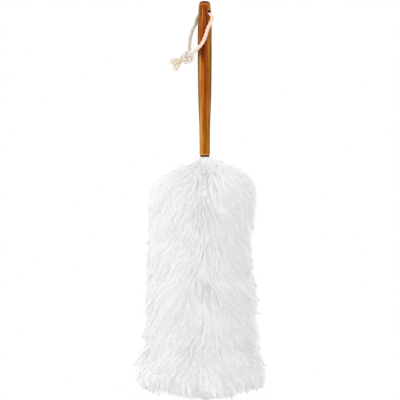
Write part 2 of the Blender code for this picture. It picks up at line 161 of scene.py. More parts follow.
class Graph:
    """A node tree under construction."""

    def __init__(self, tree: bpy.types.NodeTree) -> None:
        """Start on a tree, and empty it."""
        self.tree = tree
        tree.nodes.clear()

    def node(self, kind: str, settings: dict | None = None, sockets: dict | None = None) -> bpy.types.Node:
        """Add one node of any type.

        Args:
            kind: Node type.
            settings: Settings by name, set first; "stops" holds a ramp's (place, colour) pairs.
            sockets: Values, terms or sockets, by input name or number.

        Returns:
            The new node.
        """
        node = self.tree.nodes.new(kind)
        for name, value in (settings or {}).items():
            if name == "stops":
                self._set_stops(node, value)
            else:
                setattr(node, name, value)
        for key, value in (sockets or {}).items():
            self.feed(self.find(node.inputs, key), value)
        return node

    def term(self, kind: str, output: object = 0, settings: dict | None = None,
             sockets: dict | None = None) -> Term:
        """Add one node and wrap one of its outputs.

        Args:
            kind: Node type.
            output: Name or number of the output.
            settings: Settings by name.
            sockets: Inputs by name or number.

        Returns:
            The wrapped output.
        """
        node = self.node(kind, settings, sockets)
        return Term(self, self.find(node.outputs, output))

    def noise(self, place: object, scale: object, detail: float) -> Term:
        """Add smooth noise.

        Args:
            place: Where it is read.
            scale: Its scale, or one scale for each axis.
            detail: Its detail.

        Returns:
            The noise, from 0 to 1.
        """
        if isinstance(scale, tuple):
            place, scale = self.vector("MULTIPLY", place, scale), 1.0
        return self.term("ShaderNodeTexNoise", "Fac", None, {"Vector": place, "Scale": scale, "Detail": detail})

    def length(self, vector: object) -> Term:
        """Length of a vector."""
        return self.term("ShaderNodeVectorMath", "Value", {"operation": "LENGTH"}, {0: vector})

    def split(self, vector: object) -> list[Term]:
        """The three parts of a vector."""
        node = self.node("ShaderNodeSeparateXYZ", None, {"Vector": vector})
        return [Term(self, socket) for socket in node.outputs]

    def place(self) -> bpy.types.NodeSocket:
        """Object coordinates, for a material."""
        return self.node("ShaderNodeTexCoord").outputs["Object"]

    def attribute(self, name: str) -> Term:
        """A named attribute, for a material."""
        return self.term("ShaderNodeAttribute", "Fac", {"attribute_name": name})

    def find(self, sockets: object, key: object) -> bpy.types.NodeSocket:
        """Find a socket that is in use.

        Args:
            sockets: Inputs or outputs of a node.
            key: Name or number.

        Returns:
            The socket.
        """
        shown = [socket for socket in sockets if socket.enabled]
        if isinstance(key, int):
            return shown[key]
        return next(socket for socket in shown if socket.name == key)

    def feed(self, socket: bpy.types.NodeSocket, value: object) -> None:
        """Link or set one input.

        Args:
            socket: The input.
            value: A term, a socket or a plain value.
        """
        if isinstance(value, Term):
            value = value.socket
        if isinstance(value, bpy.types.NodeSocket):
            self.tree.links.new(value, socket)
        else:
            socket.default_value = value

    def _set_stops(self, node: bpy.types.Node, stops: tuple) -> None:
        """Set a colour ramp's stops.

        Args:
            node: The ramp.
            stops: Its (place, colour) pairs.
        """
        elements = node.color_ramp.elements
        while len(elements) < len(stops):
            elements.new(1.0)
        for element, (place, colour) in zip(elements, stops):
            element.position = place
            element.color = (*colour, 1)

    def mix(self, factor: object, first: object, second: object) -> bpy.types.NodeSocket:
        """Mix two colours.

        Args:
            factor: 0 gives the first and 1 the second.
            first: Colour or socket.
            second: Colour or socket.

        Returns:
            The mixed colour.
        """
        colours = [(*value, 1) if isinstance(value, tuple) and len(value) == 3 else value
                   for value in (first, second)]
        sockets = {"Factor": factor, "A": colours[0], "B": colours[1]}
        node = self.node("ShaderNodeMix", {"data_type": "RGBA"}, sockets)
        return self.find(node.outputs, "Result")

    def vector(self, operation: str, *values: object) -> bpy.types.NodeSocket:
        """Add a Vector Math node.

        Args:
            operation: Name of the sum.
            values: Vectors, and a number last where the sum scales.

        Returns:
            The node's output.
        """
        node = self.node("ShaderNodeVectorMath", {"operation": operation}, dict(enumerate(values)))
        return self.find(node.outputs, 0)


def linear(red: int, green: int, blue: int) -> tuple[float, float, float]:
    """Turn a screen colour into a linear one.

    Args:
        red: 0 to 255.
        green: 0 to 255.
        blue: 0 to 255.

    Returns:
        The linear colour.
    """
    shares = (red / 255, green / 255, blue / 255)
    return tuple(share / 12.92 if share <= 0.04045 else ((share + 0.055) / 1.055) ** 2.4 for share in shares)


def ramp_stops(*rows: tuple) -> tuple:
    """Turn rows of (place, red, green, blue) into a colour ramp's stops."""
    return tuple((place, linear(*colour)) for place, *colour in rows)


def in_mm(*rows: tuple) -> tuple:
    """Turn rows of millimetres into metres."""
    return tuple(tuple(value * MM for value in row) for row in rows)


def new_object(name: str, data: bpy.types.ID) -> bpy.types.Object:
    """Add an object to the scene.

    Args:
        name: Its name.
        data: Its mesh, lamp or camera.

    Returns:
        The object.
    """
    made = bpy.data.objects.new(name, data)
    bpy.context.scene.collection.objects.link(made)
    return made


def stand_for(piece: bpy.types.Object, body: Body, slot: Slot, *nodes: str) -> bpy.types.Object:
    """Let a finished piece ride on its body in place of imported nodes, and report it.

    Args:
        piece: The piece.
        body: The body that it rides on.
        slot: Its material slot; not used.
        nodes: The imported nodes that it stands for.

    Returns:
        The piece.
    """
    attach(piece, body.value)
    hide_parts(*nodes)
    LOG.info("%s: %d faces", piece.name, len(piece.data.polygons))
    return piece


def new_surface(name: str) -> tuple[bpy.types.Material, Graph]:
    """Start an empty material.

    Args:
        name: The material's name.

    Returns:
        The material and its graph.
    """
    material = bpy.data.materials.new(name)
    material.use_nodes = True
    return material, Graph(material.node_tree)


def finish_surface(graph: Graph, sockets: dict) -> None:
    """Add the shader and the output.

    Args:
        graph: The material's graph.
        sockets: Inputs of the shader, by name.
    """
    shader = graph.node("ShaderNodeBsdfPrincipled", None, sockets)
    graph.node("ShaderNodeOutputMaterial", None, {"Surface": shader.outputs[0]})


@dataclass(frozen=True)
class OiledAcacia:
    """Streaky oiled hardwood: a red heart band between golden sides, darker towards its edges; the golden sides are
    partly painted highlights and the dark edges are painted shade.
    """

    # Colours across the handle from left to right as seen from the front: wood colour, with golden sides that are
    # partly painted highlights of side lamps, and painted shade at both edges, deepest at the upper right edge beside
    # the cord
    upper_stops: tuple = ramp_stops(
        (0.0, 60, 28, 6), (0.06, 126, 68, 16), (0.12, 168, 94, 22), (0.24, 156, 70, 4), (0.33, 140, 48, 0),
        (0.44, 132, 40, 0), (0.55, 138, 50, 0), (0.65, 142, 62, 0), (0.76, 162, 90, 16), (0.86, 158, 98, 38),
        (0.92, 84, 44, 12), (0.97, 32, 14, 4))
    lower_stops: tuple = ramp_stops(
        (0.0, 110, 66, 24), (0.08, 180, 126, 60), (0.18, 198, 134, 46), (0.3, 178, 104, 18), (0.4, 144, 70, 0),
        (0.5, 144, 70, 0), (0.58, 158, 84, 4), (0.68, 160, 90, 6), (0.8, 176, 112, 32), (0.9, 148, 94, 34),
        (1.0, 58, 32, 8))
    # Pale colour of the grain's light streaks, also used for the painted highlight lines
    pale: tuple = linear(214, 158, 74)
    streak: tuple = linear(92, 34, 0)
    # Colour of the painted shadows of the cord
    cord_shadow: tuple = linear(72, 14, 4)
    # Colour of the painted shade on the butt's rounded top edge
    rim: tuple = linear(66, 32, 10)
    # Colour of the painted shade in the cross hole
    hole_shade: tuple = linear(22, 12, 6)
    # Colour of the painted shade on the foot's chamfer
    foot_shade: tuple = linear(62, 32, 12)
    grip_half: float = 10.85 * MM
    neck_half: float = 8.0 * MM
    taper: tuple = (-150 * MM, 70 * MM)
    heart_sway: float = 2.6 * MM
    heart_flutter: float = 3.0 * MM
    lower_part: tuple = (-75 * MM, 62 * MM)
    lower_cloud: float = 60 * MM
    roughness: float = 0.5
    hole: tuple = CROSS_HOLE
    hole_axis: tuple = (0.8, -0.6, 0.0)
    hole_edge: tuple = (4.0 * MM, 5.4 * MM)
    # Heights over which the painted shade of the foot's chamfer fades out
    foot_edge: tuple = (-116.2 * MM, -115.4 * MM)
    # Heights at which a painted highlight line begins, is full, begins to fade and is gone
    foot_line: tuple = (-115.6 * MM, -115.2 * MM, -114.2 * MM, -113.4 * MM)
    butt_line: tuple = (111.4 * MM, 112.2 * MM, 112.8 * MM, 113.6 * MM)
    # Heights over which the painted shade of the butt's rounded edge comes in
    butt_shade_band: tuple = (112.6 * MM, 114.6 * MM)
    # Painted shadows of the cord on the wood, shaped like dark grain: (middle, stretch for each axis, strength)
    cord_shadows: tuple = (
        ((-4.2 * MM, -8.5 * MM, 41 * MM), (115, 80, 52), 0.75),
        ((2.2 * MM, -9.5 * MM, 80 * MM), (300, 80, 32), 0.5))

    def material(self) -> bpy.types.Material:
        """Build the material.

        Returns:
            The finished wood.
        """
        material, graph = new_surface("oiled_acacia")
        place = graph.place()
        across, depth, height = graph.split(place)
        sway = graph.noise(place, (34, 34, 15), 2.0) - 0.5
        flutter = graph.noise(place, (200, 200, 42), 3.0) - 0.5
        ring = across + depth * 0.1 + sway * self.heart_sway + flutter * self.heart_flutter
        half = self.neck_half + height.ramp(*self.taper) * (self.grip_half - self.neck_half)
        share = ring / (half * 2.0) + 0.5
        # Colour across the handle, with its painted side highlights and painted edge shade
        upper, lower = (graph.node("ShaderNodeValToRGB", {"stops": stops}, {"Fac": share}).outputs[0]
                        for stops in (self.upper_stops, self.lower_stops))
        cloud = graph.noise(place, (60, 60, 26), 2.0) - 0.5
        low = 1.0 - (height + cloud * self.lower_cloud).ramp(*self.lower_part)
        colour = graph.mix(low, upper, lower)
        streak = graph.noise(place, (600, 420, 14), 5.0)
        colour = graph.mix(streak.ramp(0.53, 0.66) * 0.7, colour, self.streak)
        colour = graph.mix((1.0 - streak.ramp(0.32, 0.48)) * 0.66, colour, self.pale)
        pores = graph.noise(place, (2400, 1600, 55), 2.0).ramp(0.58, 0.74) * 0.4
        colour = graph.mix(pores, colour, self.streak)
        # Painted shadows of the cord: below where it crosses the handle, and on its left higher up
        for middle, stretch, strength in self.cord_shadows:
            shadow_patch = graph.length(graph.vector("MULTIPLY", graph.vector("SUBTRACT", place, middle), stretch))
            colour = graph.mix((1.0 - (shadow_patch + flutter * 1.2).ramp(0.3, 1.0)) * strength, colour, self.cord_shadow)
        # Painted shade in the cross hole and round its mouth
        offset = graph.vector("SUBTRACT", place, self.hole)
        bore = graph.length(graph.vector("CROSS_PRODUCT", offset, self.hole_axis))
        colour = graph.mix(1.0 - bore.ramp(*self.hole_edge), colour, self.hole_shade)
        # Painted highlight lines above the foot and below the butt's edge
        lines = self._band(height, *self.foot_line) * 0.6 + self._band(height, *self.butt_line) * 0.4
        colour = graph.mix(lines, colour, self.pale)
        # Painted shade on the butt's rounded top edge
        colour = graph.mix(height.ramp(*self.butt_shade_band) * 0.75, colour, self.rim)
        # Painted shade on the chamfer at the foot
        foot = 1.0 - height.ramp(*self.foot_edge)
        colour = graph.mix(foot, colour, self.foot_shade)
        rough = self.roughness + (streak - 0.5) * 0.2 + foot * 0.25
        grain = streak * 0.6 - pores
        bump = graph.node("ShaderNodeBump", None, {"Strength": 0.25, "Distance": 0.12 * MM, "Height": grain})
        finish_surface(graph, {"Base Color": colour, "Roughness": rough, "Normal": bump.outputs[0],
                               "Coat Weight": 0.02, "Coat Roughness": 0.25, "Specular IOR Level": 0.05})
        return material

    def _band(self, height: Term, rise: float, full: float, fall: float, none: float) -> Term:
        """1 between full and fall, easing to 0 at rise and none."""
        return height.ramp(rise, full) * (1.0 - height.ramp(fall, none))


@dataclass(frozen=True)
class BrightWire:
    """Drawn steel wire with faint die marks."""

    colour: tuple = (0.5, 0.5, 0.51)
    roughness: float = 0.32

    def material(self) -> bpy.types.Material:
        """Build the material.

        Returns:
            The finished steel.
        """
        material, graph = new_surface("drawn_steel")
        mark = graph.noise(graph.place(), (900, 900, 120), 2.0)
        finish_surface(graph, {"Base Color": (*self.colour, 1), "Metallic": 1.0,
                               "Roughness": self.roughness + (mark - 0.5) * 0.2})
        return material


@dataclass(frozen=True)
class WhitePile:
    """Split microfibre strands: white, a little darker at the roots as painted shade deep in the pile, with some
    darker strands among them that stand for painted shade in fine partings, and a faint painted glow.
    """

    tip: tuple = (0.99, 0.99, 0.99)
    root: tuple = (0.97, 0.97, 0.972)
    deep: tuple = (0.82, 0.82, 0.825)
    deep_above: float = 0.82
    roughness: float = 0.9
    # Strength of a faint painted glow, which stands for light passed through the white fibres
    painted_glow: float = 0.103

    def material(self, name: str) -> bpy.types.Material:
        """Build the material.

        Args:
            name: The material's name.

        Returns:
            The finished pile.
        """
        material, graph = new_surface(name)
        # Darker towards the roots: painted shade deep in the pile
        shade = graph.mix(graph.attribute("along").ramp(0.1, 0.9), self.root, self.tip)
        # Some darker strands at random: painted shade of fine partings between strands
        deep = (graph.attribute("tone") * 17.3).fraction().above(self.deep_above)
        colour = graph.mix(deep, shade, self.deep)
        finish_surface(graph, {"Base Color": colour, "Roughness": self.roughness, "Specular IOR Level": 0.2,
                               "Emission Color": (1, 1, 1, 1), "Emission Strength": self.painted_glow})
        return material


@dataclass(frozen=True)
class CottonYarn:
    """Natural twisted cotton: warmer beside the wood through a painted reflection of the wood, darker towards a frayed
    end's root through painted shade, and with a faint painted glow where one is set.
    """

    light: tuple = linear(236, 224, 206)
    deep: tuple = linear(198, 182, 160)
    # Tint of the painted reflection of the wood on the cord
    wood_reflection: tuple = linear(246, 208, 186)
    wood_reflection_share: float = 0.0
    beside_wood: tuple = (-13 * MM, -6 * MM)
    # How much a frayed end darkens towards its root: painted shade next to the knot
    root_shade: float = 0.0
    # Strength of a faint painted glow
    painted_glow: float = 0.0
    roughness: float = 0.9

    def material(self, name: str) -> bpy.types.Material:
        """Build the material.

        Args:
            name: The material's name.

        Returns:
            The finished cotton.
        """
        material, graph = new_surface(name)
        place = graph.place()
        cloud = graph.noise(place, 420.0, 3.0)
        turn, run, _ = graph.split(graph.node("ShaderNodeUVMap", {"uv_map": "lay"}).outputs[0])
        yarn = ((turn * 5.0 + run * 520.0) * TURN).sine() * 0.5 + 0.5
        shade = cloud.ramp(0.3, 0.75) * 0.5 + graph.attribute("tone") * 0.25 + (1.0 - yarn) * 0.2
        colour = graph.mix(shade, self.light, self.deep)
        # Painted shade at a frayed end's root, next to the knot
        shaded_root = (1.0 - graph.attribute("along").ramp(0.05, 0.75)) * self.root_shade
        colour = graph.mix(shaded_root, colour, self.deep)
        # Painted reflection of the wood, on the cord beside the handle
        wood_reflection_mask = graph.split(place)[0].ramp(*self.beside_wood) * (1.0 - shade * 0.5)
        colour = graph.mix(wood_reflection_mask * self.wood_reflection_share, colour, self.wood_reflection)
        height = yarn * 0.6 + cloud
        bump = graph.node("ShaderNodeBump", None, {"Strength": 0.5, "Distance": 0.25 * MM, "Height": height})
        finish_surface(graph, {"Base Color": colour, "Roughness": self.roughness,
                               "Specular IOR Level": 0.2, "Normal": bump.outputs[0],
                               "Emission Color": (1, 0.95, 0.87, 1), "Emission Strength": self.painted_glow})
        return material


@dataclass(frozen=True)
class LockHabit:
    """How the strands of a lock spread, sway and taper."""

    strands: int
    root: float
    middle: float
    tip: float
    slide: float
    sway: float
    curl: float
    width: float
    sway_scale: float = 22.0
    curl_scale: float = 90.0
    tip_share: float = 0.3
    flat: float = 0.0

    def values(self, seed: int, surface: bpy.types.Material) -> dict:
        """Inputs of the strand tree.

        Args:
            seed: Seed of the scatter.
            surface: The strands' material.

        Returns:
            Values by input name.
        """
        return {"Strands": self.strands, "Seed": seed, "Root spread": self.root, "Middle spread": self.middle,
                "Tip spread": self.tip, "Slide": self.slide, "Sway": self.sway, "Sway scale": self.sway_scale,
                "Curl": self.curl, "Curl scale": self.curl_scale, "Width": self.width,
                "Tip share": self.tip_share, "Flatness": self.flat, "Material": surface}


SOFT_LOCK = LockHabit(
    strands=12, root=3.2 * MM, middle=3.8 * MM, tip=3.8 * MM, slide=8 * MM, sway=9 * MM, curl=4.2 * MM,
    width=0.58 * MM, sway_scale=26.0, curl_scale=165.0, tip_share=0.4, flat=0.3)
POINTED_TUFT = LockHabit(
    strands=18, root=2.4 * MM, middle=3.6 * MM, tip=0.5 * MM, slide=2.5 * MM, sway=4 * MM, curl=1.2 * MM,
    width=1.0 * MM, tip_share=0.5, flat=0.4)
FOOT_LOCK = LockHabit(
    strands=12, root=3.2 * MM, middle=3.6 * MM, tip=0.9 * MM, slide=4 * MM, sway=7 * MM, curl=2.2 * MM,
    width=0.85 * MM, sway_scale=26.0, curl_scale=120.0, tip_share=0.5, flat=0.5)
WAVY_TRESS = LockHabit(
    strands=9, root=1.1 * MM, middle=1.5 * MM, tip=1.3 * MM, slide=3 * MM, sway=2 * MM, curl=1.4 * MM,
    width=0.66 * MM, sway_scale=40.0, curl_scale=160.0, tip_share=0.45)
FAN_LOCK = LockHabit(
    strands=12, root=0.9 * MM, middle=1.5 * MM, tip=1.6 * MM, slide=5 * MM, sway=3 * MM, curl=1.8 * MM,
    width=0.66 * MM, sway_scale=30.0, curl_scale=150.0, tip_share=0.4)
YARN_FRAY = LockHabit(
    strands=10, root=0.6 * MM, middle=0.8 * MM, tip=1.1 * MM, slide=2.5 * MM, sway=2.4 * MM, curl=0.5 * MM,
    width=0.55 * MM, sway_scale=120.0, curl_scale=240.0)


class Tree:
    """A Geometry Nodes tree with named inputs, and the meshes that it makes."""

    def __init__(self, name: str, counts: tuple, sizes: tuple) -> None:
        """Start the tree.

        Args:
            name: The tree's name.
            counts: Names of its whole-number inputs.
            sizes: Names of its other inputs, but for the material.
        """
        self.group = bpy.data.node_groups.new(name, "GeometryNodeTree")
        sockets = self.group.interface
        sockets.new_socket(name="Geometry", in_out="INPUT", socket_type="NodeSocketGeometry")
        sockets.new_socket(name="Geometry", in_out="OUTPUT", socket_type="NodeSocketGeometry")
        kinds = {**dict.fromkeys(counts, "NodeSocketInt"), **dict.fromkeys(sizes, "NodeSocketFloat"),
                 "Material": "NodeSocketMaterial"}
        self.slots = {label: sockets.new_socket(name=label, in_out="INPUT", socket_type=kind).identifier
                      for label, kind in kinds.items()}
        self.graph = Graph(self.group)
        self.start = self.graph.node("NodeGroupInput")

    def given(self, label: str) -> Term:
        """Read one of the tree's inputs."""
        return Term(self.graph, self.start.outputs[label])

    def copies(self, amount: str) -> bpy.types.Node:
        """Turn the lines into curves and repeat each of them.

        Args:
            amount: Name of the input that says how often.

        Returns:
            The node that repeats them.
        """
        lines = self.graph.node("GeometryNodeMeshToCurve", None, {"Mesh": self.start.outputs["Geometry"]})
        return self.graph.node("GeometryNodeDuplicateElements", {"domain": "SPLINE"},
                               {"Geometry": lines.outputs[0], "Amount": self.given(amount)})

    def body(self, curves: bpy.types.NodeSocket, offset: bpy.types.NodeSocket, sides: object, radius: float,
             scale: Term) -> bpy.types.NodeSocket:
        """Move curves aside and give them a closed body, with the attribute "side" round it.

        Args:
            curves: The curves.
            offset: How far each of their points moves.
            sides: Number of the body's sides.
            radius: Radius of its profile.
            scale: What the profile is multiplied by at each point.

        Returns:
            The mesh.
        """
        graph = self.graph
        moved = graph.node("GeometryNodeSetPosition", None, {"Geometry": curves, "Offset": offset})
        ring = graph.node("GeometryNodeCurvePrimitiveCircle", {"mode": "RADIUS"},
                          {"Resolution": sides, "Radius": radius})
        factor = graph.node("GeometryNodeSplineParameter").outputs["Factor"]
        profile = store(graph, ring.outputs[0], "side", "FLOAT", "POINT", factor)
        mesh = graph.node("GeometryNodeCurveToMesh", None, {"Curve": moved.outputs[0], "Profile Curve": profile,
                                                            "Scale": scale, "Fill Caps": True})
        return mesh.outputs[0]

    def close(self, mesh: bpy.types.NodeSocket) -> None:
        """End the tree in Realize Instances and Set Material.

        Args:
            mesh: The tree's geometry.
        """
        smooth = self.graph.node("GeometryNodeSetShadeSmooth", None, {"Geometry": mesh})
        solid = self.graph.node("GeometryNodeRealizeInstances", None, {"Geometry": smooth.outputs[0]})
        dressed = self.graph.node("GeometryNodeSetMaterial", None,
                                  {"Geometry": solid.outputs[0], "Material": self.given("Material")})
        self.graph.node("NodeGroupOutput", None, {"Geometry": dressed.outputs[0]})

    def grow(self, name: str, host: bpy.types.Mesh, values: dict) -> bpy.types.Object:
        """Run the tree on a mesh of lines and keep the result as a plain mesh.

        Args:
            name: The new piece's name.
            host: The lines.
            values: Values of the tree's inputs, by name.

        Returns:
            The new piece.
        """
        seed = new_object(name + "_lines", host)
        modifier = seed.modifiers.new("grow", "NODES")
        modifier.node_group = self.group
        for label, value in values.items():
            modifier[self.slots[label]] = value
        depsgraph = bpy.context.evaluated_depsgraph_get()
        mesh = bpy.data.meshes.new_from_object(seed.evaluated_get(depsgraph), depsgraph=depsgraph)
        mesh.name = name
        bpy.data.objects.remove(seed)
        return new_object(name, mesh)


def line_mesh(name: str, lines: np.ndarray, along: np.ndarray, room: np.ndarray | None = None,
              outward: np.ndarray | None = None) -> bpy.types.Mesh:
    """Make a mesh of open lines that carry how far along each point is, and the room round it.

    Args:
        name: The mesh's name.
        lines: Points, as (line, point, axis).
        along: Share of the way along, one for each point of a line.
        room: How freely strands may spread at each point, from 0 to 1.
        outward: Way out of the pile at each point, for strands that lie flat on it.

    Returns:
        The mesh.
    """
    count, points = lines.shape[:2]
    mesh = bpy.data.meshes.new(name)
    steps = np.arange(points - 1)
    edges = (np.arange(count)[:, None, None] * points + np.stack([steps, steps + 1], 1)[None]).reshape(-1, 2)
    mesh.from_pydata(lines.reshape(-1, 3).tolist(), edges.tolist(), [])
    for label, kind, key, values in (
            ("along", "FLOAT", "value", np.tile(along, count)),
            ("room", "FLOAT", "value", np.ones((count, points)) if room is None else room),
            ("outward", "FLOAT_VECTOR", "vector", np.zeros(lines.shape) if outward is None else outward)):
        mesh.attributes.new(label, kind, "POINT").data.foreach_set(key, values.ravel().astype(np.float32))
    return mesh


def strand_tree() -> Tree:
    """Build the tree that grows a lock of tapered strands round every line.

    Returns:
        The tree.
    """
    tree = Tree("strand_locks", ("Strands", "Seed"),
                ("Root spread", "Middle spread", "Tip spread", "Slide", "Sway", "Sway scale", "Curl", "Curl scale",
                 "Width", "Tip share", "Flatness"))
    graph, given = tree.graph, tree.given
    index = graph.node("GeometryNodeInputIndex").outputs[0]
    scatter = graph.node("FunctionNodeRandomValue", {"data_type": "FLOAT_VECTOR"},
                         {"Min": (-1, -1, -1), "Max": (1, 1, 1), "ID": index, "Seed": given("Seed")})
    tone = graph.node("FunctionNodeRandomValue", {"data_type": "FLOAT"}, {"ID": index, "Seed": given("Seed") + 7})
    curves = store(graph, tree.copies("Strands").outputs[0], "scatter", "FLOAT_VECTOR", "CURVE",
                   graph.find(scatter.outputs, 0))
    curves = store(graph, curves, "tone", "FLOAT", "CURVE", graph.find(tone.outputs, 0))
    along, tone, room = (read(graph, name, "FLOAT") for name in ("along", "tone", "room"))
    spot, outward = (read(graph, name, "FLOAT_VECTOR").socket for name in ("scatter", "outward"))
    place = graph.node("GeometryNodeInputPosition").outputs[0]
    tangent = graph.node("GeometryNodeInputTangent").outputs[0]
    spread = (given("Root spread") * (1.0 - along) + given("Middle spread") * along * (1.0 - along) * 4.0
              + given("Tip spread") * along * along)
    stray = 1.0 + tone.above(0.86) * along * 1.3
    near = (room * 3.0).at_most(1.0)
    slip = (tone * 7.3).fraction() - 0.7
    sway = centred_noise(graph, place, given("Sway scale"))
    loose = graph.vector("ADD", place, graph.vector("SCALE", spot, given("Middle spread") * 4.0))
    curl = centred_noise(graph, loose, given("Curl scale"))
    offset = graph.vector("SCALE", spot, spread * stray * near)
    for way, amount in ((tangent, given("Slide") * slip * near),
                        (sway, given("Sway") * room * along * along * 2.0),
                        (curl, given("Curl") * room * along * 2.0)):
        offset = graph.vector("ADD", offset, graph.vector("SCALE", way, amount))
    push = graph.term("ShaderNodeVectorMath", "Value", {"operation": "DOT_PRODUCT"}, {0: offset, 1: outward})
    offset = graph.vector("SUBTRACT", offset, graph.vector("SCALE", outward, push * given("Flatness")))
    thin = 1.0 - (1.0 - given("Tip share")) * (along ** 3.0)
    width = given("Width") * thin * (0.75 + tone * 0.5)
    mesh = tree.body(curves, offset, 3, 0.5, width)
    turn = side_share(graph)
    ahead = along * 0.94 + (turn * TURN).sine() * 0.012 + 0.03
    lay = graph.node("ShaderNodeCombineXYZ", None, {"X": tone * 0.9 + turn * 0.06 + 0.02, "Y": ahead})
    tree.close(store(graph, mesh, "OFBake", "FLOAT2", "CORNER", lay.outputs[0]))
    return tree


def side_share(graph: Graph) -> Term:
    """Share of the way round a tube at each face corner, without a jump at its seam.

    Args:
        graph: The tree's graph, whose profile carries the attribute "side".

    Returns:
        The share, from 0 to 1.
    """
    side = read(graph, "side", "FLOAT")
    mean = graph.term("GeometryNodeFieldOnDomain", 0, {"domain": "FACE", "data_type": "FLOAT"}, {"Value": side})
    return side + mean.above(0.25) * (1.0 - side.above(0.001))


def store(graph: Graph, geometry: bpy.types.NodeSocket, name: str, kind: str, domain: str,
          value: object) -> bpy.types.NodeSocket:
    """Store an attribute on a geometry.

    Args:
        graph: The tree's graph.
        geometry: What carries it.
        name: The attribute's name.
        kind: Data type.
        domain: Domain.
        value: What is stored.

    Returns:
        The geometry with its attribute.
    """
    node = graph.node("GeometryNodeStoreNamedAttribute", {"data_type": kind, "domain": domain},
                      {"Geometry": geometry, "Name": name, "Value": value})
    return node.outputs[0]


def read(graph: Graph, name: str, kind: str) -> Term:
    """Read a named attribute in a Geometry Nodes tree.

    Args:
        graph: The tree's graph.
        name: The attribute's name.
        kind: Data type.

    Returns:
        The attribute.
    """
    return graph.term("GeometryNodeInputNamedAttribute", "Attribute", {"data_type": kind}, {"Name": name})


def centred_noise(graph: Graph, place: object, scale: object) -> bpy.types.NodeSocket:
    """Smooth noise with a value on each axis, from about -0.5 to 0.5.

    Args:
        graph: The tree's graph.
        place: Where it is read.
        scale: Its scale.

    Returns:
        The noise.
    """
    noise = graph.node("ShaderNodeTexNoise", None, {"Vector": place, "Scale": scale, "Detail": 1.0})
    return graph.vector("SUBTRACT", noise.outputs["Color"], (0.5, 0.5, 0.5))


def rope_tree() -> Tree:
    """Build the tree that braids plies round a line, half of them turning each way.

    Returns:
        The tree.
    """
    tree = Tree("rope_plies", ("Plies", "Sides"), ("Ply radius", "Lay radius", "Pitch", "Unevenness", "Phase"))
    graph, given = tree.graph, tree.given
    copies = tree.copies("Plies")
    curves = store(graph, copies.outputs[0], "ply", "FLOAT", "CURVE", copies.outputs["Duplicate Index"])
    run = graph.term("GeometryNodeSplineParameter", "Length")
    curves = store(graph, curves, "run", "FLOAT", "POINT", run)
    ply = read(graph, "ply", "FLOAT")
    odd = ply.math("MODULO", ply, 2.0)
    way = 1.0 - odd * 2.0
    angle = (run / given("Pitch") * way + (ply - odd) / given("Plies")) * TURN
    girth = read(graph, "room", "FLOAT")
    lay = given("Lay radius") * girth * (1.0 + way * (angle * 2.0).cosine() * 0.22)
    angle = angle + given("Phase")
    normal = graph.node("GeometryNodeInputNormal").outputs[0]
    tangent = graph.node("GeometryNodeInputTangent").outputs[0]
    across = graph.vector("CROSS_PRODUCT", tangent, normal)
    offset = graph.vector("ADD", graph.vector("SCALE", normal, angle.cosine() * lay),
                          graph.vector("SCALE", across, angle.sine() * lay))
    lumps = graph.noise(graph.node("GeometryNodeInputPosition").outputs[0], 700.0, 1.0)
    radius = given("Ply radius") * girth * (1.0 + (lumps - 0.5) * given("Unevenness"))
    mesh = tree.body(curves, offset, given("Sides"), 1.0, radius)
    spot = graph.node("ShaderNodeCombineXYZ", None, {"X": side_share(graph), "Y": read(graph, "run", "FLOAT")})
    tree.close(store(graph, mesh, "lay", "FLOAT2", "CORNER", spot.outputs[0]))
    return tree


def smooth_line(points: list, spacing: float) -> list[Vector]:
    """Read evenly spaced points from one smooth curve through the given points.

    Args:
        points: Points that the curve goes through.
        spacing: Distance between the points read.

    Returns:
        The points.
    """
    line = [Vector(point) for point in points]
    padded = [2 * line[0] - line[1], *line, 2 * line[-1] - line[-2]]
    fine = []
    samples = 24
    for before, start, end, after in zip(padded, padded[1:], padded[2:], padded[3:]):
        for step in range(samples):
            t = step / samples
            fine.append(0.5 * (2 * start + (end - before) * t
                               + (2 * before - 5 * start + 4 * end - after) * t ** 2
                               + (3 * start - before - 3 * end + after) * t ** 3))
    fine.append(line[-1])
    reach = np.cumsum([0] + [(b - a).length for a, b in zip(fine, fine[1:])])
    places = np.linspace(0, reach[-1], max(2, round(reach[-1] / spacing) + 1))
    columns = [np.interp(places, reach, [point[axis] for point in fine]) for axis in range(3)]
    return [Vector(point) for point in zip(*columns)]


def line_length(points: list) -> float:
    """Length of a run of points."""
    return sum((b - a).length for a, b in zip(points, points[1:]))


def distances(points: np.ndarray) -> np.ndarray:
    """Distance of each point from the first one, along the run of points."""
    return np.concatenate([[0], np.cumsum(np.linalg.norm(np.diff(points, axis=0), axis=1))])


def across_handle() -> Vector:
    """Level direction of the cross hole, from the back of the handle to its front."""
    return Vector((math.cos(CROSS_HOLE_TURN), math.sin(CROSS_HOLE_TURN), 0))


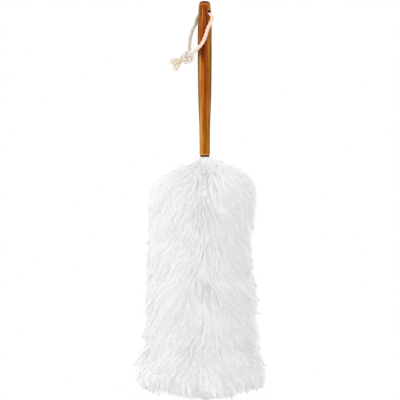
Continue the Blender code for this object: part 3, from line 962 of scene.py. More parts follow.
@dataclass
class Studio:
    """Camera, lamps, pale floor and white surroundings."""

    centre: tuple = (-7.1 * MM, 0.0, -183.2 * MM)
    view_height: float = 604 * MM
    distance: float = 3.2
    sensor: float = 36.0
    far_end: float = 50.0
    floor_level: float = -501 * MM
    floor_radius: float = 6.0
    floor_steps: int = 96
    floor_paint: tuple = (0.97, 0.97, 0.97, 1)
    shadow_fade: tuple = (75 * MM, 160 * MM)
    white: tuple = (1, 1, 1, 1)
    ambient: float = 0.8
    # (name, place, length of a side, watts)
    lamps: tuple = (
        ("key_softbox", (-1.3, -1.3, 0.95), 1.2, 13.5),
        ("front_softbox", (1.0, -2.1, 1.2), 0.4, 11.0))

    def build(self) -> None:
        """Set up everything round the object."""
        self._camera()
        self._world()
        self._floor()
        for lamp in self.lamps:
            self._lamp(*lamp)
        bpy.context.scene.view_settings.view_transform = "Standard"

    def _camera(self) -> None:
        """Look at the front from far away, level with the object."""
        data = bpy.data.cameras.new("camera")
        data.sensor_width = self.sensor
        data.lens = self.sensor * self.distance / self.view_height
        data.clip_end = self.far_end
        camera = new_object("camera", data)
        camera.location = (self.centre[0], -self.distance, self.centre[2])
        camera.rotation_euler = (90 * DEG, 0, 0)
        bpy.context.scene.camera = camera

    def _seen(self, graph: Graph) -> Term:
        """1 for rays that see the surroundings plainly: from the camera, a gloss or a clear body.

        Args:
            graph: Graph of the surroundings or the floor.

        Returns:
            The mask.
        """
        path = graph.node("ShaderNodeLightPath")
        camera, gloss, clear = (Term(graph, path.outputs[name]) for name in
                                ("Is Camera Ray", "Is Glossy Ray", "Is Transmission Ray"))
        return (camera + gloss + clear).at_most(1.0)

    def _world(self) -> None:
        """White surroundings that light the object at a plain level."""
        world = bpy.data.worlds.new("surroundings")
        world.use_nodes = True
        bpy.context.scene.world = world
        graph = Graph(world.node_tree)
        strength = self._seen(graph) * (1.0 - self.ambient) + self.ambient
        light = graph.node("ShaderNodeBackground", None, {"Color": self.white, "Strength": strength})
        graph.node("ShaderNodeOutputWorld", None, {"Surface": light.outputs[0]})

    def _floor(self) -> None:
        """Pale floor that keeps the shadow near the object and fades to white further out."""
        turns = [step * TURN / self.floor_steps for step in range(self.floor_steps)]
        rim = [(self.floor_radius * math.cos(turn), self.floor_radius * math.sin(turn), self.floor_level)
               for turn in turns]
        mesh = bpy.data.meshes.new("floor")
        mesh.from_pydata(rim, [], [tuple(range(self.floor_steps))])
        material, graph = new_surface("pale_floor")
        away = graph.length(graph.vector("MULTIPLY", graph.place(), (1, 1, 0)))
        far = self._seen(graph) * away.ramp(*self.shadow_fade)
        paint = graph.node("ShaderNodeBsdfDiffuse", None, {"Color": self.floor_paint})
        glow = graph.node("ShaderNodeEmission", None, {"Color": self.white, "Strength": 1.0})
        both = graph.node("ShaderNodeMixShader", None, {0: far, 1: paint.outputs[0], 2: glow.outputs[0]})
        graph.node("ShaderNodeOutputMaterial", None, {"Surface": both.outputs[0]})
        mesh.materials.append(material)
        new_object("floor", mesh)

    def _lamp(self, name: str, place: tuple, size: float, power: float) -> None:
        """Add a square lamp that faces the object.

        Args:
            name: The lamp's name.
            place: Where it stands.
            size: Length of its side.
            power: Its power in watts.
        """
        data = bpy.data.lights.new(name, "AREA")
        data.shape = "SQUARE"
        data.size = size
        data.energy = power
        lamp = new_object(name, data)
        lamp.location = place
        lamp.rotation_mode = "QUATERNION"
        lamp.rotation_quaternion = (Vector(self.centre) - Vector(place)).to_track_quat("-Z", "Y")


def turned(name: str, outline: list, steps: int) -> bpy.types.Object:
    """Turn an outline about the vertical axis into a closed piece.

    Args:
        name: The piece's name.
        outline: Points (radius, height) from the top to the bottom, with both ends on the axis.
        steps: Steps round the axis.

    Returns:
        The piece.
    """
    turns = np.arange(steps) * TURN / steps
    verts = [(0, 0, outline[0][1]), (0, 0, outline[-1][1])]
    verts += [(radius * math.cos(turn), radius * math.sin(turn), height)
              for radius, height in outline[1:-1] for turn in turns]
    faces = []
    last = 2 + (len(outline) - 3) * steps
    for here in range(steps):
        there = (here + 1) % steps
        faces.append((0, 2 + here, 2 + there))
        faces += [(ring + here, ring + steps + here, ring + steps + there, ring + there)
                  for ring in range(2, last, steps)]
        faces.append((1, last + there, last + here))
    mesh = bpy.data.meshes.new(name)
    mesh.from_pydata(verts, [], faces)
    return new_object(name, mesh)


# Turned outline of the handle, from the butt's rounded edge down to the foot: (radius, height)
BUTT_OUTLINE = in_mm((3.2, 117), (5.0, 116.7), (6.4, 116), (7.6, 114.9))
SHAFT_OUTLINE = in_mm(
    (8.4, 113.3), (9.25, 106), (9.62, 98), (10.1, 90), (10.5, 78), (10.55, 52), (10.55, 28), (10.4, 10),
    (10.15, -8), (9.85, -26), (9.25, -44), (8.6, -59), (8.12, -75), (7.85, -93), (7.7, -114.4))
END_OUTLINE = in_mm((7.1, -115.9), (6.8, -117.4), (6.3, -118), (2.85, -118), (2.85, -78.6), (0.0, -77.2))


@dataclass
class WoodHandle:
    """The turned handle with its cross hole, and the wire core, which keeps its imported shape."""

    steps: int = 96
    spacing: float = 5 * MM
    hole: tuple = CROSS_HOLE
    hole_radius: float = 3.2 * MM
    flare_start: float = 7.2 * MM
    flare_end: float = 12 * MM
    crease: float = 30 * DEG

    def build(self) -> None:
        """Turn the handle, bore its cross hole and dress the wire."""
        shaft = smooth_line([(radius, 0, height) for radius, height in SHAFT_OUTLINE], self.spacing)
        outline = [(0.0, BUTT_OUTLINE[0][1]), *BUTT_OUTLINE, *((point.x, point.z) for point in shaft), *END_OUTLINE]
        handle = turned("turned_handle", outline, self.steps)
        cutter = self._cutter()
        bore = handle.modifiers.new("bore", "BOOLEAN")
        bore.operation = "DIFFERENCE"
        bore.solver = "EXACT"
        bore.object = cutter
        ready = handle.evaluated_get(bpy.context.evaluated_depsgraph_get())
        mesh = bpy.data.meshes.new_from_object(ready)
        handle.modifiers.clear()
        handle.data = mesh
        bpy.data.objects.remove(cutter)
        mesh.shade_smooth()
        mesh.set_sharp_from_angle(angle=self.crease)
        mesh.materials.clear()
        mesh.materials.append(OiledAcacia().material())
        stand_for(handle, Body.DUSTER, Slot.WOOD, "handle")
        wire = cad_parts["core_wire"]
        for place in wire.material_slots:
            place.material = BrightWire().material()
        LOG.info("%s dressed", wire.name)

    def _cutter(self) -> bpy.types.Object:
        """Make a round cutter across the handle, flared where it meets the wood's surface.

        Returns:
            The cutter.
        """
        flared = self.hole_radius + self.flare_end - self.flare_start
        half = [(0.0, self.flare_end), (flared, self.flare_end), (self.hole_radius, self.flare_start)]
        outline = half + [(radius, -height) for radius, height in reversed(half)]
        cutter = turned("hole_cutter", outline, self.steps // 2)
        turn = across_handle().to_track_quat("Z", "Y").to_matrix().to_4x4()
        cutter.data.transform(Matrix.Translation(self.hole) @ turn)
        return cutter


# Outline of the pile from the neck down to the foot's corner: (radius on the left, radius on the right, height)
PILE_OUTLINE = in_mm(
    (6.5, 6.5, -118.2), (26, 28.5, -127.5), (46, 47, -137.5), (60, 60.5, -146), (71, 70, -158),
    (80.5, 75, -172), (81.5, 74.5, -190), (81, 70.5, -207), (80, 65, -247), (83.5, 66.5, -262),
    (82, 68.5, -297), (84.5, 73.5, -315), (85.5, 73, -345), (85.5, 76.5, -378), (89, 75.5, -408),
    (97, 83, -426), (101.5, 87, -446), (96, 83, -456), (84, 73, -464))


# Underside of the foot, from its corner inwards: (share of the corner's radius, height)
FOOT_OUTLINE = (
    (1.0, -445 * MM), (0.94, -456 * MM), (0.8, -464 * MM), (0.6, -471 * MM), (0.35, -477 * MM), (0.0, -479 * MM))


# Places down the front where the pile parts and fans out: (right, height, length of the fan's strands, hollow's depth)
PARTINGS = in_mm(
    (-1, -186, 44, 12), (-5, -192, 40, 9), (7, -240, 34, 8), (-17, -290, 34, 5.5), (8, -306, 36, 4),
    (-33, -340, 30, 5.5), (-20, -384, 34, 5.5))


@dataclass
class PileHead:
    """White pile: a soft undercoat under thousands of fine drooping strands in small locks."""

    neck: float = 6.5 * MM
    stations: tuple = (0.0, 0.3, 0.55, 0.76, 0.9, 1.0)
    tiers: int = 10
    locks_per_tier: int = 360
    lock_length: float = 29 * MM
    lock_play: tuple = (0.75, 1.2)
    lock_turn_play: float = 0.05
    root_depth: float = 7.5 * MM
    root_reach: float = 60 * MM
    free_reach: float = 105 * MM
    slope_reach: float = 4 * MM
    sweep: float = 18 * MM
    sweep_ripple: float = 43 * MM
    parting_wave: float = 118 * MM
    parting_depth: float = 6.5 * MM
    parting_width: float = 0.11
    parting_reach: float = 60 * MM
    hollow_width: float = 7 * MM
    swell_reach: float = 90 * MM
    # Waves of the surface: (number round the handle, radians for each metre up, phase, height in millimetres)
    swells: tuple = ((3, 105, 0.4, 1.1), (5, -170, 2.1, 0.9), (8, 235, 4.0, 0.8), (11, -120, 1.3, 0.6),
                     (2, 310, 5.2, 0.6))
    hem_drop: float = 12 * MM
    hem_start: float = -408 * MM
    hem_height: float = 56 * MM
    # How much the way out tilts up at the top and down at the foot: (slope, height where it starts, fade)
    top_tilt: tuple = (2.0, -162 * MM, 24 * MM)
    foot_tilt: tuple = (1.6, -446 * MM, 20 * MM)
    tufts: int = 330
    tuft_length: float = 27 * MM
    tuft_play: tuple = (0.8, 1.2)
    tuft_proud: tuple = (4.0 * MM, 9.5 * MM)
    tuft_reach: float = 0.74
    hem_tufts: float = 0.2
    hem_tips: tuple = (0.965, 1.0)
    tresses: int = 12
    tress_points: int = 20
    tress_pitch: float = 13 * MM
    tress_top: float = -139 * MM
    tress_fall: float = 46 * MM
    tress_right: float = -1 * MM
    tress_gap: float = 2 * MM
    tress_sunk: float = 2.8 * MM
    tress_swing: tuple = (2.6 * MM, 1.4 * MM)
    fan_strands: int = 12
    fan_play: tuple = (0.65, 1.2)
    fan_width: float = 2.5 * MM
    fan_lean: float = 0.7
    fan_droop: float = 0.35
    fan_radius: float = 120 * MM
    fan_sunk: float = 6 * MM
    fan_rise: float = 6.5 * MM
    foot_locks: int = 560
    foot_length: float = 40 * MM
    foot_play: tuple = (0.85, 1.1)
    foot_edge: float = 0.95
    foot_lean: tuple = (5 * DEG, 42 * DEG)
    foot_sag: float = 0.8
    undercoat_grid: tuple = (96, 84)
    undercoat_depth: float = 8 * MM
    undercoat_fade: tuple = (60 * MM, 30 * MM)
    undercoat_foot: float = 10 * MM
    undercoat_lumps: float = 0.8 * MM
    undercoat_sag: float = 0.4
    # How far it lies lower than the outline, how much lower still at the neck, and how soon that ends
    undercoat_drop: tuple = (1.7 * MM, 1.3 * MM, 20 * MM)
    seed: int = 11
    grown: int = 0

    def build(self, tree: Tree) -> list[bpy.types.Object]:
        """Grow the pile's pieces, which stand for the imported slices.

        Args:
            tree: The strand tree.

        Returns:
            The pieces.
        """
        white = WhitePile().material("white_microfibre")
        shaded = WhitePile(tip=(0.93, 0.93, 0.93), root=(0.8, 0.8, 0.805),
                           deep=(0.54, 0.54, 0.545)).material("shaded_microfibre")
        slices = [f"pile_tier_{tier + 1:02d}" for tier in range(self.tiers)] + ["pile_end_tuft"]
        chance = np.random.default_rng(self.seed)
        sides, room = self._side_lines(chance)
        foot = self._foot_lines(chance)
        per, half = self.locks_per_tier, self.foot_locks // 2
        jobs = [(f"pile_strands_{tier + 1:02d}", SOFT_LOCK, sides[tier * per:(tier + 1) * per],
                 room[tier * per:(tier + 1) * per], white, slices[tier]) for tier in range(self.tiers)]
        jobs += [("pile_strands_foot_1", FOOT_LOCK, foot[:half], None, white, "pile_end_tuft"),
                 ("pile_strands_foot_2", FOOT_LOCK, foot[half:], None, white, "pile_end_tuft"),
                 ("pile_tufts", POINTED_TUFT, *self._tuft_lines(chance), white, *slices),
                 ("pile_front_tress", WAVY_TRESS, self._tress_lines(chance), None, shaded, *slices[:2]),
                 ("pile_front_fans", FAN_LOCK, self._fan_lines(chance), None, shaded, *slices[1:])]
        return [self._grow(tree, *job) for job in jobs] + [self._undercoat(white, *slices)]

    def _grow(self, tree: Tree, name: str, habit: LockHabit, lines: np.ndarray, room: np.ndarray | None,
              surface: bpy.types.Material, *nodes: str) -> bpy.types.Object:
        """Grow one piece and put it in place of its nodes.

        Args:
            tree: The strand tree.
            name: The piece's name.
            habit: How its strands spread.
            lines: The lines of its locks.
            room: The room round each of their points, or None where it is free.
            surface: The strands' material.
            nodes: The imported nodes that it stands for.

        Returns:
            The piece.
        """
        out = lines.copy()
        out[:, :, :2] /= np.linalg.norm(lines[:, :, :2], axis=2)[:, :, None] + 1e-6
        height = lines[:, :, 2]
        (up, top, fade), (down, bottom, foot_fade) = self.top_tilt, self.foot_tilt
        out[:, :, 2] = up * np.clip((height - top) / fade, 0, 1) - down * np.clip((bottom - height) / foot_fade, 0, 1)
        out /= np.linalg.norm(out, axis=2)[:, :, None]
        along = np.array(self.stations) if lines.shape[1] == len(self.stations) else np.linspace(0, 1, lines.shape[1])
        host = line_mesh(name + "_lines", lines, along, room, out)
        self.grown += 1
        piece = tree.grow(name, host, habit.values(self.seed + self.grown, surface))
        return stand_for(piece, Body.DUSTER, Slot.PILE, *nodes)

    def _outline(self, azimuth: np.ndarray) -> np.ndarray:
        """Read the pile's outline at each azimuth.

        Args:
            azimuth: Angles round the handle, from the right.

        Returns:
            Rows of (radius, height) for each angle.
        """
        table = np.array(PILE_OUTLINE)
        share = ((1 - np.cos(azimuth)) / 2)[:, None]
        radius = table[:, 0] * share + table[:, 1] * (1 - share)
        low = np.clip((self.hem_start - table[:, 2]) / self.hem_height, 0, 1) ** 2
        return np.stack([radius, table[:, 2] - self.hem_drop * low * np.sin(azimuth)[:, None] ** 2], 2)

    def _front_profile(self) -> np.ndarray:
        """Rows of (radius, height) up the middle of the front."""
        return self._outline(np.array([-math.pi / 2]))[0][::-1]

    def _side_lines(self, chance: np.random.Generator) -> tuple[np.ndarray, np.ndarray]:
        """Lay the locks of the tent-shaped top and the sides, from the top down.

        Args:
            chance: Source of the random draws.

        Returns:
            The lines, and the room round their points.
        """
        count = self.tiers * self.locks_per_tier
        mean = self._outline(np.array([math.pi / 2]))[0]
        reach = distances(mean)
        fine = np.linspace(0, reach[-1], 400)
        area = np.cumsum(np.interp(fine, reach, mean[:, 0]))
        wanted = (np.arange(count) + 0.5) / count * area[-1]
        tips = np.interp(wanted, area, fine) / reach[-1]
        azimuth = np.arange(count) * GOLDEN_TURN + chance.uniform(-self.lock_turn_play, self.lock_turn_play, count)
        length = self.lock_length * chance.uniform(*self.lock_play, count)
        proud = chance.normal(0, 1.0, count) * MM
        return self._lay(zip(self._outline(azimuth), tips, length, proud, azimuth))

    def _lay(self, locks: Iterable) -> tuple[np.ndarray, np.ndarray]:
        """Lay one line for each lock, and stack them with the room round their points."""
        lines, room = zip(*(self._lie(*lock) for lock in locks))
        return np.array(lines), np.array(room)

    def _lie(self, rows: np.ndarray, tip: float, length: float, proud: float,
             azimuth: float) -> tuple[np.ndarray, np.ndarray]:
        """Lay one line down the outline from under the surface to its tip, away from the front parting.

        Args:
            rows: The outline's (radius, height) rows at the line's azimuth.
            tip: Share of the way down the outline at which the line ends.
            length: The line's length.
            proud: How far its tip stands out.
            azimuth: Angle round the handle.

        Returns:
            The line, and the room round its points.
        """
        along = np.array(self.stations)
        reach = distances(rows)
        end = tip * reach[-1]
        start = max(end - length, 0.0)
        spots = start + (end - start) * along
        radius, height = (np.interp(spots, reach, rows[:, axis]) for axis in (0, 1))
        proud = proud + self._swell(azimuth, height[-1]) * min(1.0, end / self.swell_reach)
        off = math.sin(azimuth / 2 + math.pi / 4 - 0.05 * math.sin(height[-1] * TURN / self.parting_wave)) * 2
        proud -= self.parting_depth * math.exp(-(off / self.parting_width) ** 2) * min(1.0, end / self.parting_reach)
        if azimuth % TURN > math.pi:
            right = radius[-1] * math.cos(azimuth)
            proud -= sum(hollow * math.exp(-((right - x) ** 2 + (height[-1] - z) ** 2) / self.hollow_width ** 2)
                         for x, z, _, hollow in PARTINGS)
        ahead = np.stack([np.interp(spots + self.slope_reach, reach, rows[:, axis])
                          - np.interp(spots - self.slope_reach, reach, rows[:, axis]) for axis in (0, 1)], 1)
        ahead /= np.linalg.norm(ahead, axis=1)[:, None] + 1e-9
        buried = self.root_depth * min(1.0, 0.12 + start / self.root_reach) * (1 - along) ** 1.3
        depth = buried - proud * along ** 3
        radius = np.maximum(radius + ahead[:, 1] * depth, self.neck * 0.8)
        height = height - ahead[:, 0] * depth
        free = np.clip((spots / self.free_reach) ** 1.5, 0.05, 1)
        waves = 0.2 * np.sin(height * TURN / self.parting_wave) + 0.1 * np.sin(height * TURN / self.sweep_ripple)
        sideways = self.sweep * np.sin(2 * (azimuth + waves)) * (1 - along) * free
        turn = azimuth + sideways / np.maximum(radius, 30 * MM)
        return np.stack([radius * np.cos(turn), radius * np.sin(turn), height], 1), free

    def _swell(self, azimuth: float, height: float) -> float:
        """Soft lumps of the surface, which make the locks lie in uneven banks."""
        return MM * sum(size * math.sin(round_ * azimuth + rise * height + phase)
                        for round_, rise, phase, size in self.swells)

    def _tuft_lines(self, chance: np.random.Generator) -> tuple[np.ndarray, np.ndarray]:
        """Lay the pointed tufts that stand a little proud, most of them low and at the sides.

        Args:
            chance: Source of the random draws.

        Returns:
            The lines, and the room round their points.
        """
        locks = []
        while len(locks) < self.tufts:
            azimuth = chance.uniform(0, TURN)
            hem = chance.uniform() < self.hem_tufts
            tip = chance.uniform(*self.hem_tips) if hem else 1 - self.tuft_reach * chance.uniform() ** 1.3
            if not hem and chance.uniform() > (0.55 + math.sin(azimuth)) / 0.3:
                continue
            rows = self._outline(np.array([azimuth]))[0]
            length = self.tuft_length * chance.uniform(*self.tuft_play)
            proud = chance.uniform(*self.tuft_proud) * min(1.0, 0.4 + tip)
            locks.append((rows, tip, length, proud, azimuth))
        return self._lay(locks)

    def _tress_lines(self, chance: np.random.Generator) -> np.ndarray:
        """Plait three strands down the front parting from the neck.

        Args:
            chance: Source of the random draws.

        Returns:
            The lines.
        """
        steps = np.linspace(0, 1, self.tress_points)
        profile = self._front_profile()
        wide, deep = self.tress_swing
        lines = []
        for number in range(self.tresses):
            strand = number % 3
            height = self.tress_top - self.tress_fall * steps + chance.uniform(-2, 2) * MM
            turn = height * TURN / self.tress_pitch + strand * TURN / 3 + chance.uniform(-0.7, 0.7)
            across = self.tress_right + (strand - 1) * self.tress_gap + wide * np.sin(turn)
            out = np.interp(height, profile[:, 1], profile[:, 0]) - self.tress_sunk + deep * np.cos(turn)
            lines.append(np.stack([across, -out, height], 1))
        return np.array(lines)

    def _fan_lines(self, chance: np.random.Generator) -> np.ndarray:
        """Fan out locks below each parting of the front.

        Args:
            chance: Source of the random draws.

        Returns:
            The lines.
        """
        along = np.array(self.stations)
        profile = self._front_profile()
        lines = []
        for right, top, length, _ in PARTINGS:
            for number in range(self.fan_strands):
                lean = (number + chance.uniform(0.1, 0.9)) * 2 / self.fan_strands - 1
                angle = (right / self.fan_radius + self.fan_lean * lean) * (1 - self.fan_droop * along)
                reach = length * chance.uniform(*self.fan_play) * along
                across = right + self.fan_width * lean + np.sin(angle) * reach
                height = top + chance.uniform(-3, 3) * MM - np.cos(angle) * reach
                proud = self.fan_rise * np.sin(along * 1.9) - self.fan_sunk
                out = np.interp(height, profile[:, 1], profile[:, 0]) + proud
                lines.append(np.stack([across, -np.sqrt(out ** 2 - across ** 2), height], 1))
        return np.array(lines)

    def _foot_lines(self, chance: np.random.Generator) -> np.ndarray:
        """Fan out the locks below, from the outer edge of the foot inwards.

        Args:
            chance: Source of the random draws.

        Returns:
            The lines.
        """
        count = self.foot_locks
        share = (np.arange(count) + 0.5) / count
        azimuth = np.arange(count) * GOLDEN_TURN
        corner = self._outline(azimuth)[:, -3, 0]
        spread = np.sqrt(1 - share) * self.foot_edge
        foot = np.array(FOOT_OUTLINE)[::-1]
        height = np.interp(spread, foot[:, 0], foot[:, 1]) + chance.normal(0, 2.0, count) * MM
        height -= self.hem_drop * (np.sin(azimuth) * spread) ** 2 * self.foot_sag
        lean = self.foot_lean[0] + self.foot_lean[1] * spread ** 3
        length = self.foot_length * chance.uniform(*self.foot_play, count)
        back = 1 - np.array(self.stations)
        lines = np.empty((count, len(self.stations), 3))
        for index in range(count):
            bend = lean[index] * (1 - back * 0.6)
            out = np.maximum(corner[index] * spread[index] - back * length[index] * np.sin(bend), 1 * MM)
            up = height[index] + back * length[index] * np.cos(bend)
            lines[index] = np.stack([out * math.cos(azimuth[index]), out * math.sin(azimuth[index]), up], 1)
        return lines

    def _undercoat(self, surface: bpy.types.Material, *nodes: str) -> bpy.types.Object:
        """Make the dense lumpy mass under the strands.

        Args:
            surface: Its material.
            nodes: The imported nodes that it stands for.

        Returns:
            The piece.
        """
        columns, rows = self.undercoat_grid
        azimuth = np.arange(columns) * TURN / columns
        lift = np.random.default_rng(self.seed).uniform(-1, 1, (columns, rows)) * self.undercoat_lumps
        foot = np.array(FOOT_OUTLINE)
        neck_fade, foot_fade = self.undercoat_fade
        drop, neck_drop, neck_reach = self.undercoat_drop
        verts = []
        for column, edge in enumerate(self._outline(azimuth)):
            corner = edge[-3, 0] - self.undercoat_foot
            under = foot * (corner, 1) + (0, self.undercoat_foot)
            under[:, 1] -= self.hem_drop * (math.sin(azimuth[column]) * foot[:, 0]) ** 2 * self.undercoat_sag
            line = np.concatenate([edge[:-4], under])
            reach = distances(line)
            spots = np.linspace(0, reach[-1], rows)
            radius, height = (np.interp(spots, reach, line[:, axis]) for axis in (0, 1))
            slope = np.stack([np.gradient(radius), np.gradient(height)], 1)
            slope /= np.linalg.norm(slope, axis=1)[:, None]
            fade = np.clip(spots / neck_fade, 0, 1) * np.clip((reach[len(edge) - 4] - spots) / foot_fade, 0, 1)
            depth = self.undercoat_depth * fade + lift[column]
            radius = np.maximum(radius + slope[:, 1] * depth, 0.5 * MM)
            height = height - slope[:, 0] * depth - drop - neck_drop * np.clip(1 - spots / neck_reach, 0, 1)
            verts += [(r * math.cos(azimuth[column]), r * math.sin(azimuth[column]), z)
                      for r, z in zip(radius, height)]
        faces = []
        for column in range(columns):
            here, there = column * rows, (column + 1) % columns * rows
            faces += [(here + row, here + row + 1, there + row + 1, there + row) for row in range(rows - 1)]
        faces.append(tuple(column * rows for column in range(columns)))
        faces.append(tuple(column * rows + rows - 1 for column in reversed(range(columns))))
        mesh = bpy.data.meshes.new("pile_undercoat")
        mesh.from_pydata(verts, [], faces)
        for name, value in (("along", 0.4), ("tone", 0.5)):
            mesh.attributes.new(name, "FLOAT", "POINT").data.foreach_set("value", [value] * len(verts))
        mesh.shade_smooth()
        mesh.materials.append(surface)
        return stand_for(new_object("pile_undercoat", mesh), Body.DUSTER, Slot.PILE, *nodes)


# Hanging cord's own points: right, back and up from the middle of the cross hole
FRONT_FALL_ROUTE = in_mm(
    (10.7, -10, -9.8), (7.4, -11.9, -17.2), (4.4, -12.8, -24), (2, -13.6, -32), (-1.1, -14, -40.5),
    (-5.6, -14, -48), (-10.8, -13.6, -53.6), (-15.3, -12.9, -57.6), (-19.3, -12, -61.3))
BACK_FALL_ROUTE = in_mm(
    (-12.6, 8, -9.3), (-13.7, 5.9, -14.8), (-17.6, 3.3, -22.6), (-20, 0.4, -30), (-21.8, -2.4, -37.5),
    (-22.7, -5.2, -44.5), (-23, -7.6, -51), (-22.7, -9.7, -55.6))


@dataclass
class CordLoop:
    """Twisted cotton cord through the cross hole, with its knot and frayed ends."""

    diameter: float = 5 * MM
    front_width: float = 5.9 * MM
    back_width: float = 5.3 * MM
    knot_width: float = 5.2 * MM
    hole: tuple = CROSS_HOLE
    mouth: float = 9.3 * MM
    # Thickness in the hole as a share of the cord's, where it starts to swell, and how soon it is full
    squeeze: float = 0.97
    squeeze_end: tuple = (11 * MM, 9 * MM)
    bend_radius: float = 9 * MM
    bend_start: float = 5.4 * MM
    bend_turns: tuple = (30 * DEG, 60 * DEG)
    spacing: float = 0.9 * MM
    plies: int = 4
    ply_sides: int = 10
    ply_share: float = 0.3
    lay_share: float = 0.84
    pitch: float = 13 * MM
    unevenness: float = 0.25
    phase: float = 0.4
    knot_place: tuple = (-25.8 * MM, -11.4 * MM, -67.7 * MM)
    knot_size: float = 3.7 * MM
    knot_lean: float = 43 * DEG
    knot_opening: float = 20 * DEG
    knot_steps: int = 40
    knot_spacing: float = 0.6 * MM
    # Way into the knot, in knot sizes: (across, down the cord, forward)
    knot_lead: tuple = ((1.6, -2.8, 0.55), (1.6, -2.4, 0.6), (1.95, -1.4, 0.7), (2.05, -0.4, 0.75))
    # (name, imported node, seat, lean, seed)
    tails: tuple = (
        ("frayed_end_upper", "cord_tail_upper", (-36.0 * MM, -11.4 * MM, 27.2 * MM), 8 * DEG, 3),
        ("frayed_end_lower", "cord_tail_lower", (-35.6 * MM, -8.0 * MM, 26.4 * MM), 50 * DEG, 4))
    yarns: int = 22
    yarn_points: int = 8
    yarn_longest: float = 18 * MM
    yarn_shortfall: float = 6 * MM
    yarn_spread: tuple = (1.7 * MM, 3.6 * MM)
    yarn_droop: float = 1.5 * MM

    def build(self, rope: Tree, strands: Tree) -> None:
        """Lay the cord, tie the knot and fray the ends.

        Args:
            rope: The rope tree.
            strands: The strand tree.
        """
        cotton = CottonYarn(wood_reflection_share=0.85).material("braided_cotton")
        # A darker copy of the cotton for the back fall: painted shade behind the handle
        shaded_cotton = CottonYarn(light=linear(214, 203, 192), deep=linear(172, 160, 148)).material("shaded_back_cotton")
        tied = CottonYarn(light=linear(236, 224, 216), deep=linear(200, 182, 168)).material("tied_cotton")
        # The frayed ends carry painted shade at their roots and a faint painted glow
        fray = CottonYarn(light=linear(250, 246, 240), deep=linear(220, 196, 164), root_shade=0.8,
                          painted_glow=0.14).material("frayed_cotton")
        knot = self._rope(rope, "cord_knot_wraps", self._knot_points(), self.knot_width, 1.0, tied, "cord_knot")
        tails = [self._tail(strands, fray, *tail) for tail in self.tails]
        for name, node, side, route, surface, width in (
                ("cord_front_rope", "cord_front_fall", 1, FRONT_FALL_ROUTE, cotton, self.front_width),
                ("cord_back_rope", "cord_back_fall", -1, BACK_FALL_ROUTE, shaded_cotton, self.back_width)):
            points = self._fall_points(side, route)
            piece = self._rope(rope, name, points, width, self.diameter / width * self.squeeze, surface, node)
            tuple(Vector(self.hole) + across_handle() * side * self.mouth)
            round(line_length(points), 4)

    def _rope(self, tree: Tree, name: str, points: list, width: float, start: float,
              surface: bpy.types.Material, node: str) -> bpy.types.Object:
        """Lay a rope along a line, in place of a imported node.

        Args:
            tree: The rope tree.
            name: The piece's name.
            points: The line.
            width: The rope's thickness to the eye.
            start: Share of that thickness at the line's start.
            surface: Its material.
            node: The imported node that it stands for.

        Returns:
            The piece.
        """
        lines = np.array([[tuple(point) for point in points]])
        squeezed, easing = self.squeeze_end
        girth = start + (1 - start) * np.clip((distances(lines[0]) - squeezed) / easing, 0, 1)
        host = line_mesh(name + "_lines", lines, np.linspace(0, 1, len(points)), girth[None])
        ply = width * self.ply_share
        values = {"Plies": self.plies, "Sides": self.ply_sides, "Ply radius": ply,
                  "Lay radius": (width / 2 - ply) * self.lay_share, "Pitch": self.pitch,
                  "Unevenness": self.unevenness, "Phase": self.phase, "Material": surface}
        return stand_for(tree.grow(name, host, values), Body.LOOP, Slot.COTTON, node)

    def _fall_points(self, side: int, route: tuple) -> list[Vector]:
        """Find the line of one fall, from the middle of the hole to the knot.

        Args:
            side: 1 at the front and -1 at the back.
            route: The points that it goes through outside its mouth.

        Returns:
            The line.
        """
        outward = across_handle() * side
        points = [outward * 0.1 * MM, outward * self.bend_start / 2, outward * self.bend_start]
        for turn in self.bend_turns:
            along = self.bend_start + self.bend_radius * math.sin(turn)
            drop = self.bend_radius * (1 - math.cos(turn))
            points.append(outward * along - Vector((0, 0, drop)))
        points += [Vector(point) for point in route]
        return [Vector(self.hole) + point for point in smooth_line(points, self.spacing)]

    def _knot_points(self) -> list[Vector]:
        """Find the line of the overhand knot, with one end led in and one led out.

        Returns:
            The line.
        """
        lead_in = [Vector(share) for share in self.knot_lead]
        loop = []
        for step in range(self.knot_steps + 1):
            turn = self.knot_opening + (TURN - 2 * self.knot_opening) * step / self.knot_steps
            radius = 1.3 + 0.6 * math.cos(3 * turn)
            loop.append(Vector((radius * math.cos(2 * turn), radius * math.sin(2 * turn),
                                0.64 * math.sin(3 * turn))))
        lead_out = [Vector((point.x, -point.y, -point.z)) for point in reversed(lead_in)]
        down_cord = Vector((-math.sin(self.knot_lean), 0, -math.cos(self.knot_lean)))
        forward = Vector((0, -1, 0))
        tilt = Matrix((down_cord.cross(forward), down_cord, forward)).transposed()
        place = Vector(self.hole) + Vector(self.knot_place)
        points = [place + tilt @ point * self.knot_size for point in lead_in + loop + lead_out]
        return smooth_line(points, self.knot_spacing)

    def _tail(self, tree: Tree, surface: bpy.types.Material, name: str, node: str, seat: tuple, lean: float,
              seed: int) -> bpy.types.Object:
        """Fray one cut end of the cord into fine fibres.

        Args:
            tree: The strand tree.
            surface: The fibres' material.
            name: The piece's name.
            node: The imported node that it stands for.
            seat: Where the end comes out of the knot.
            lean: How far it points down.
            seed: Seed of the random draws.

        Returns:
            The piece.
        """
        chance = np.random.default_rng(seed)
        heading = Vector((-math.cos(lean), 0, -math.sin(lean)))
        across = heading.orthogonal().normalized()
        lines = np.empty((self.yarns, self.yarn_points, 3))
        shares = np.linspace(0, 1, self.yarn_points)
        for index in range(self.yarns):
            spread = math.sqrt((index + 0.5) / self.yarns)
            around = Matrix.Rotation(index * GOLDEN_TURN, 3, heading) @ across
            length = self.yarn_longest - self.yarn_shortfall * chance.uniform()
            for step, share in enumerate(shares):
                flare = spread * (self.yarn_spread[0] + self.yarn_spread[1] * share ** 1.3)
                place = Vector(seat) + heading * length * share + around * flare
                lines[index, step] = place - Vector((0, 0, self.yarn_droop * share ** 2))
        piece = tree.grow(name, line_mesh(name + "_lines", lines, shares), YARN_FRAY.values(seed, surface))
        return stand_for(piece, Body.LOOP, Slot.COTTON, node)


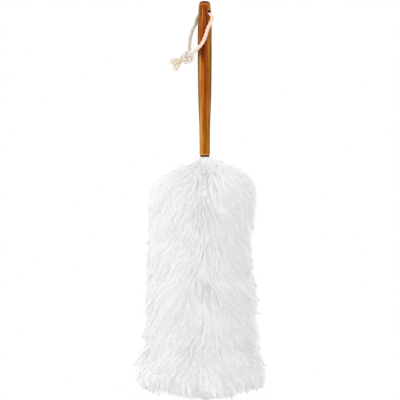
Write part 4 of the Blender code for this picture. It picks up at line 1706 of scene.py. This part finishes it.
def main() -> None:
    """Build the scene in order."""
    logging.basicConfig(level=logging.INFO, format="%(name)s: %(message)s")
    Studio().build()
    strands = strand_tree()
    CordLoop().build(rope_tree(), strands)
    WoodHandle().build()
    PileHead().build(strands)


if __name__ == "__main__":
    main()
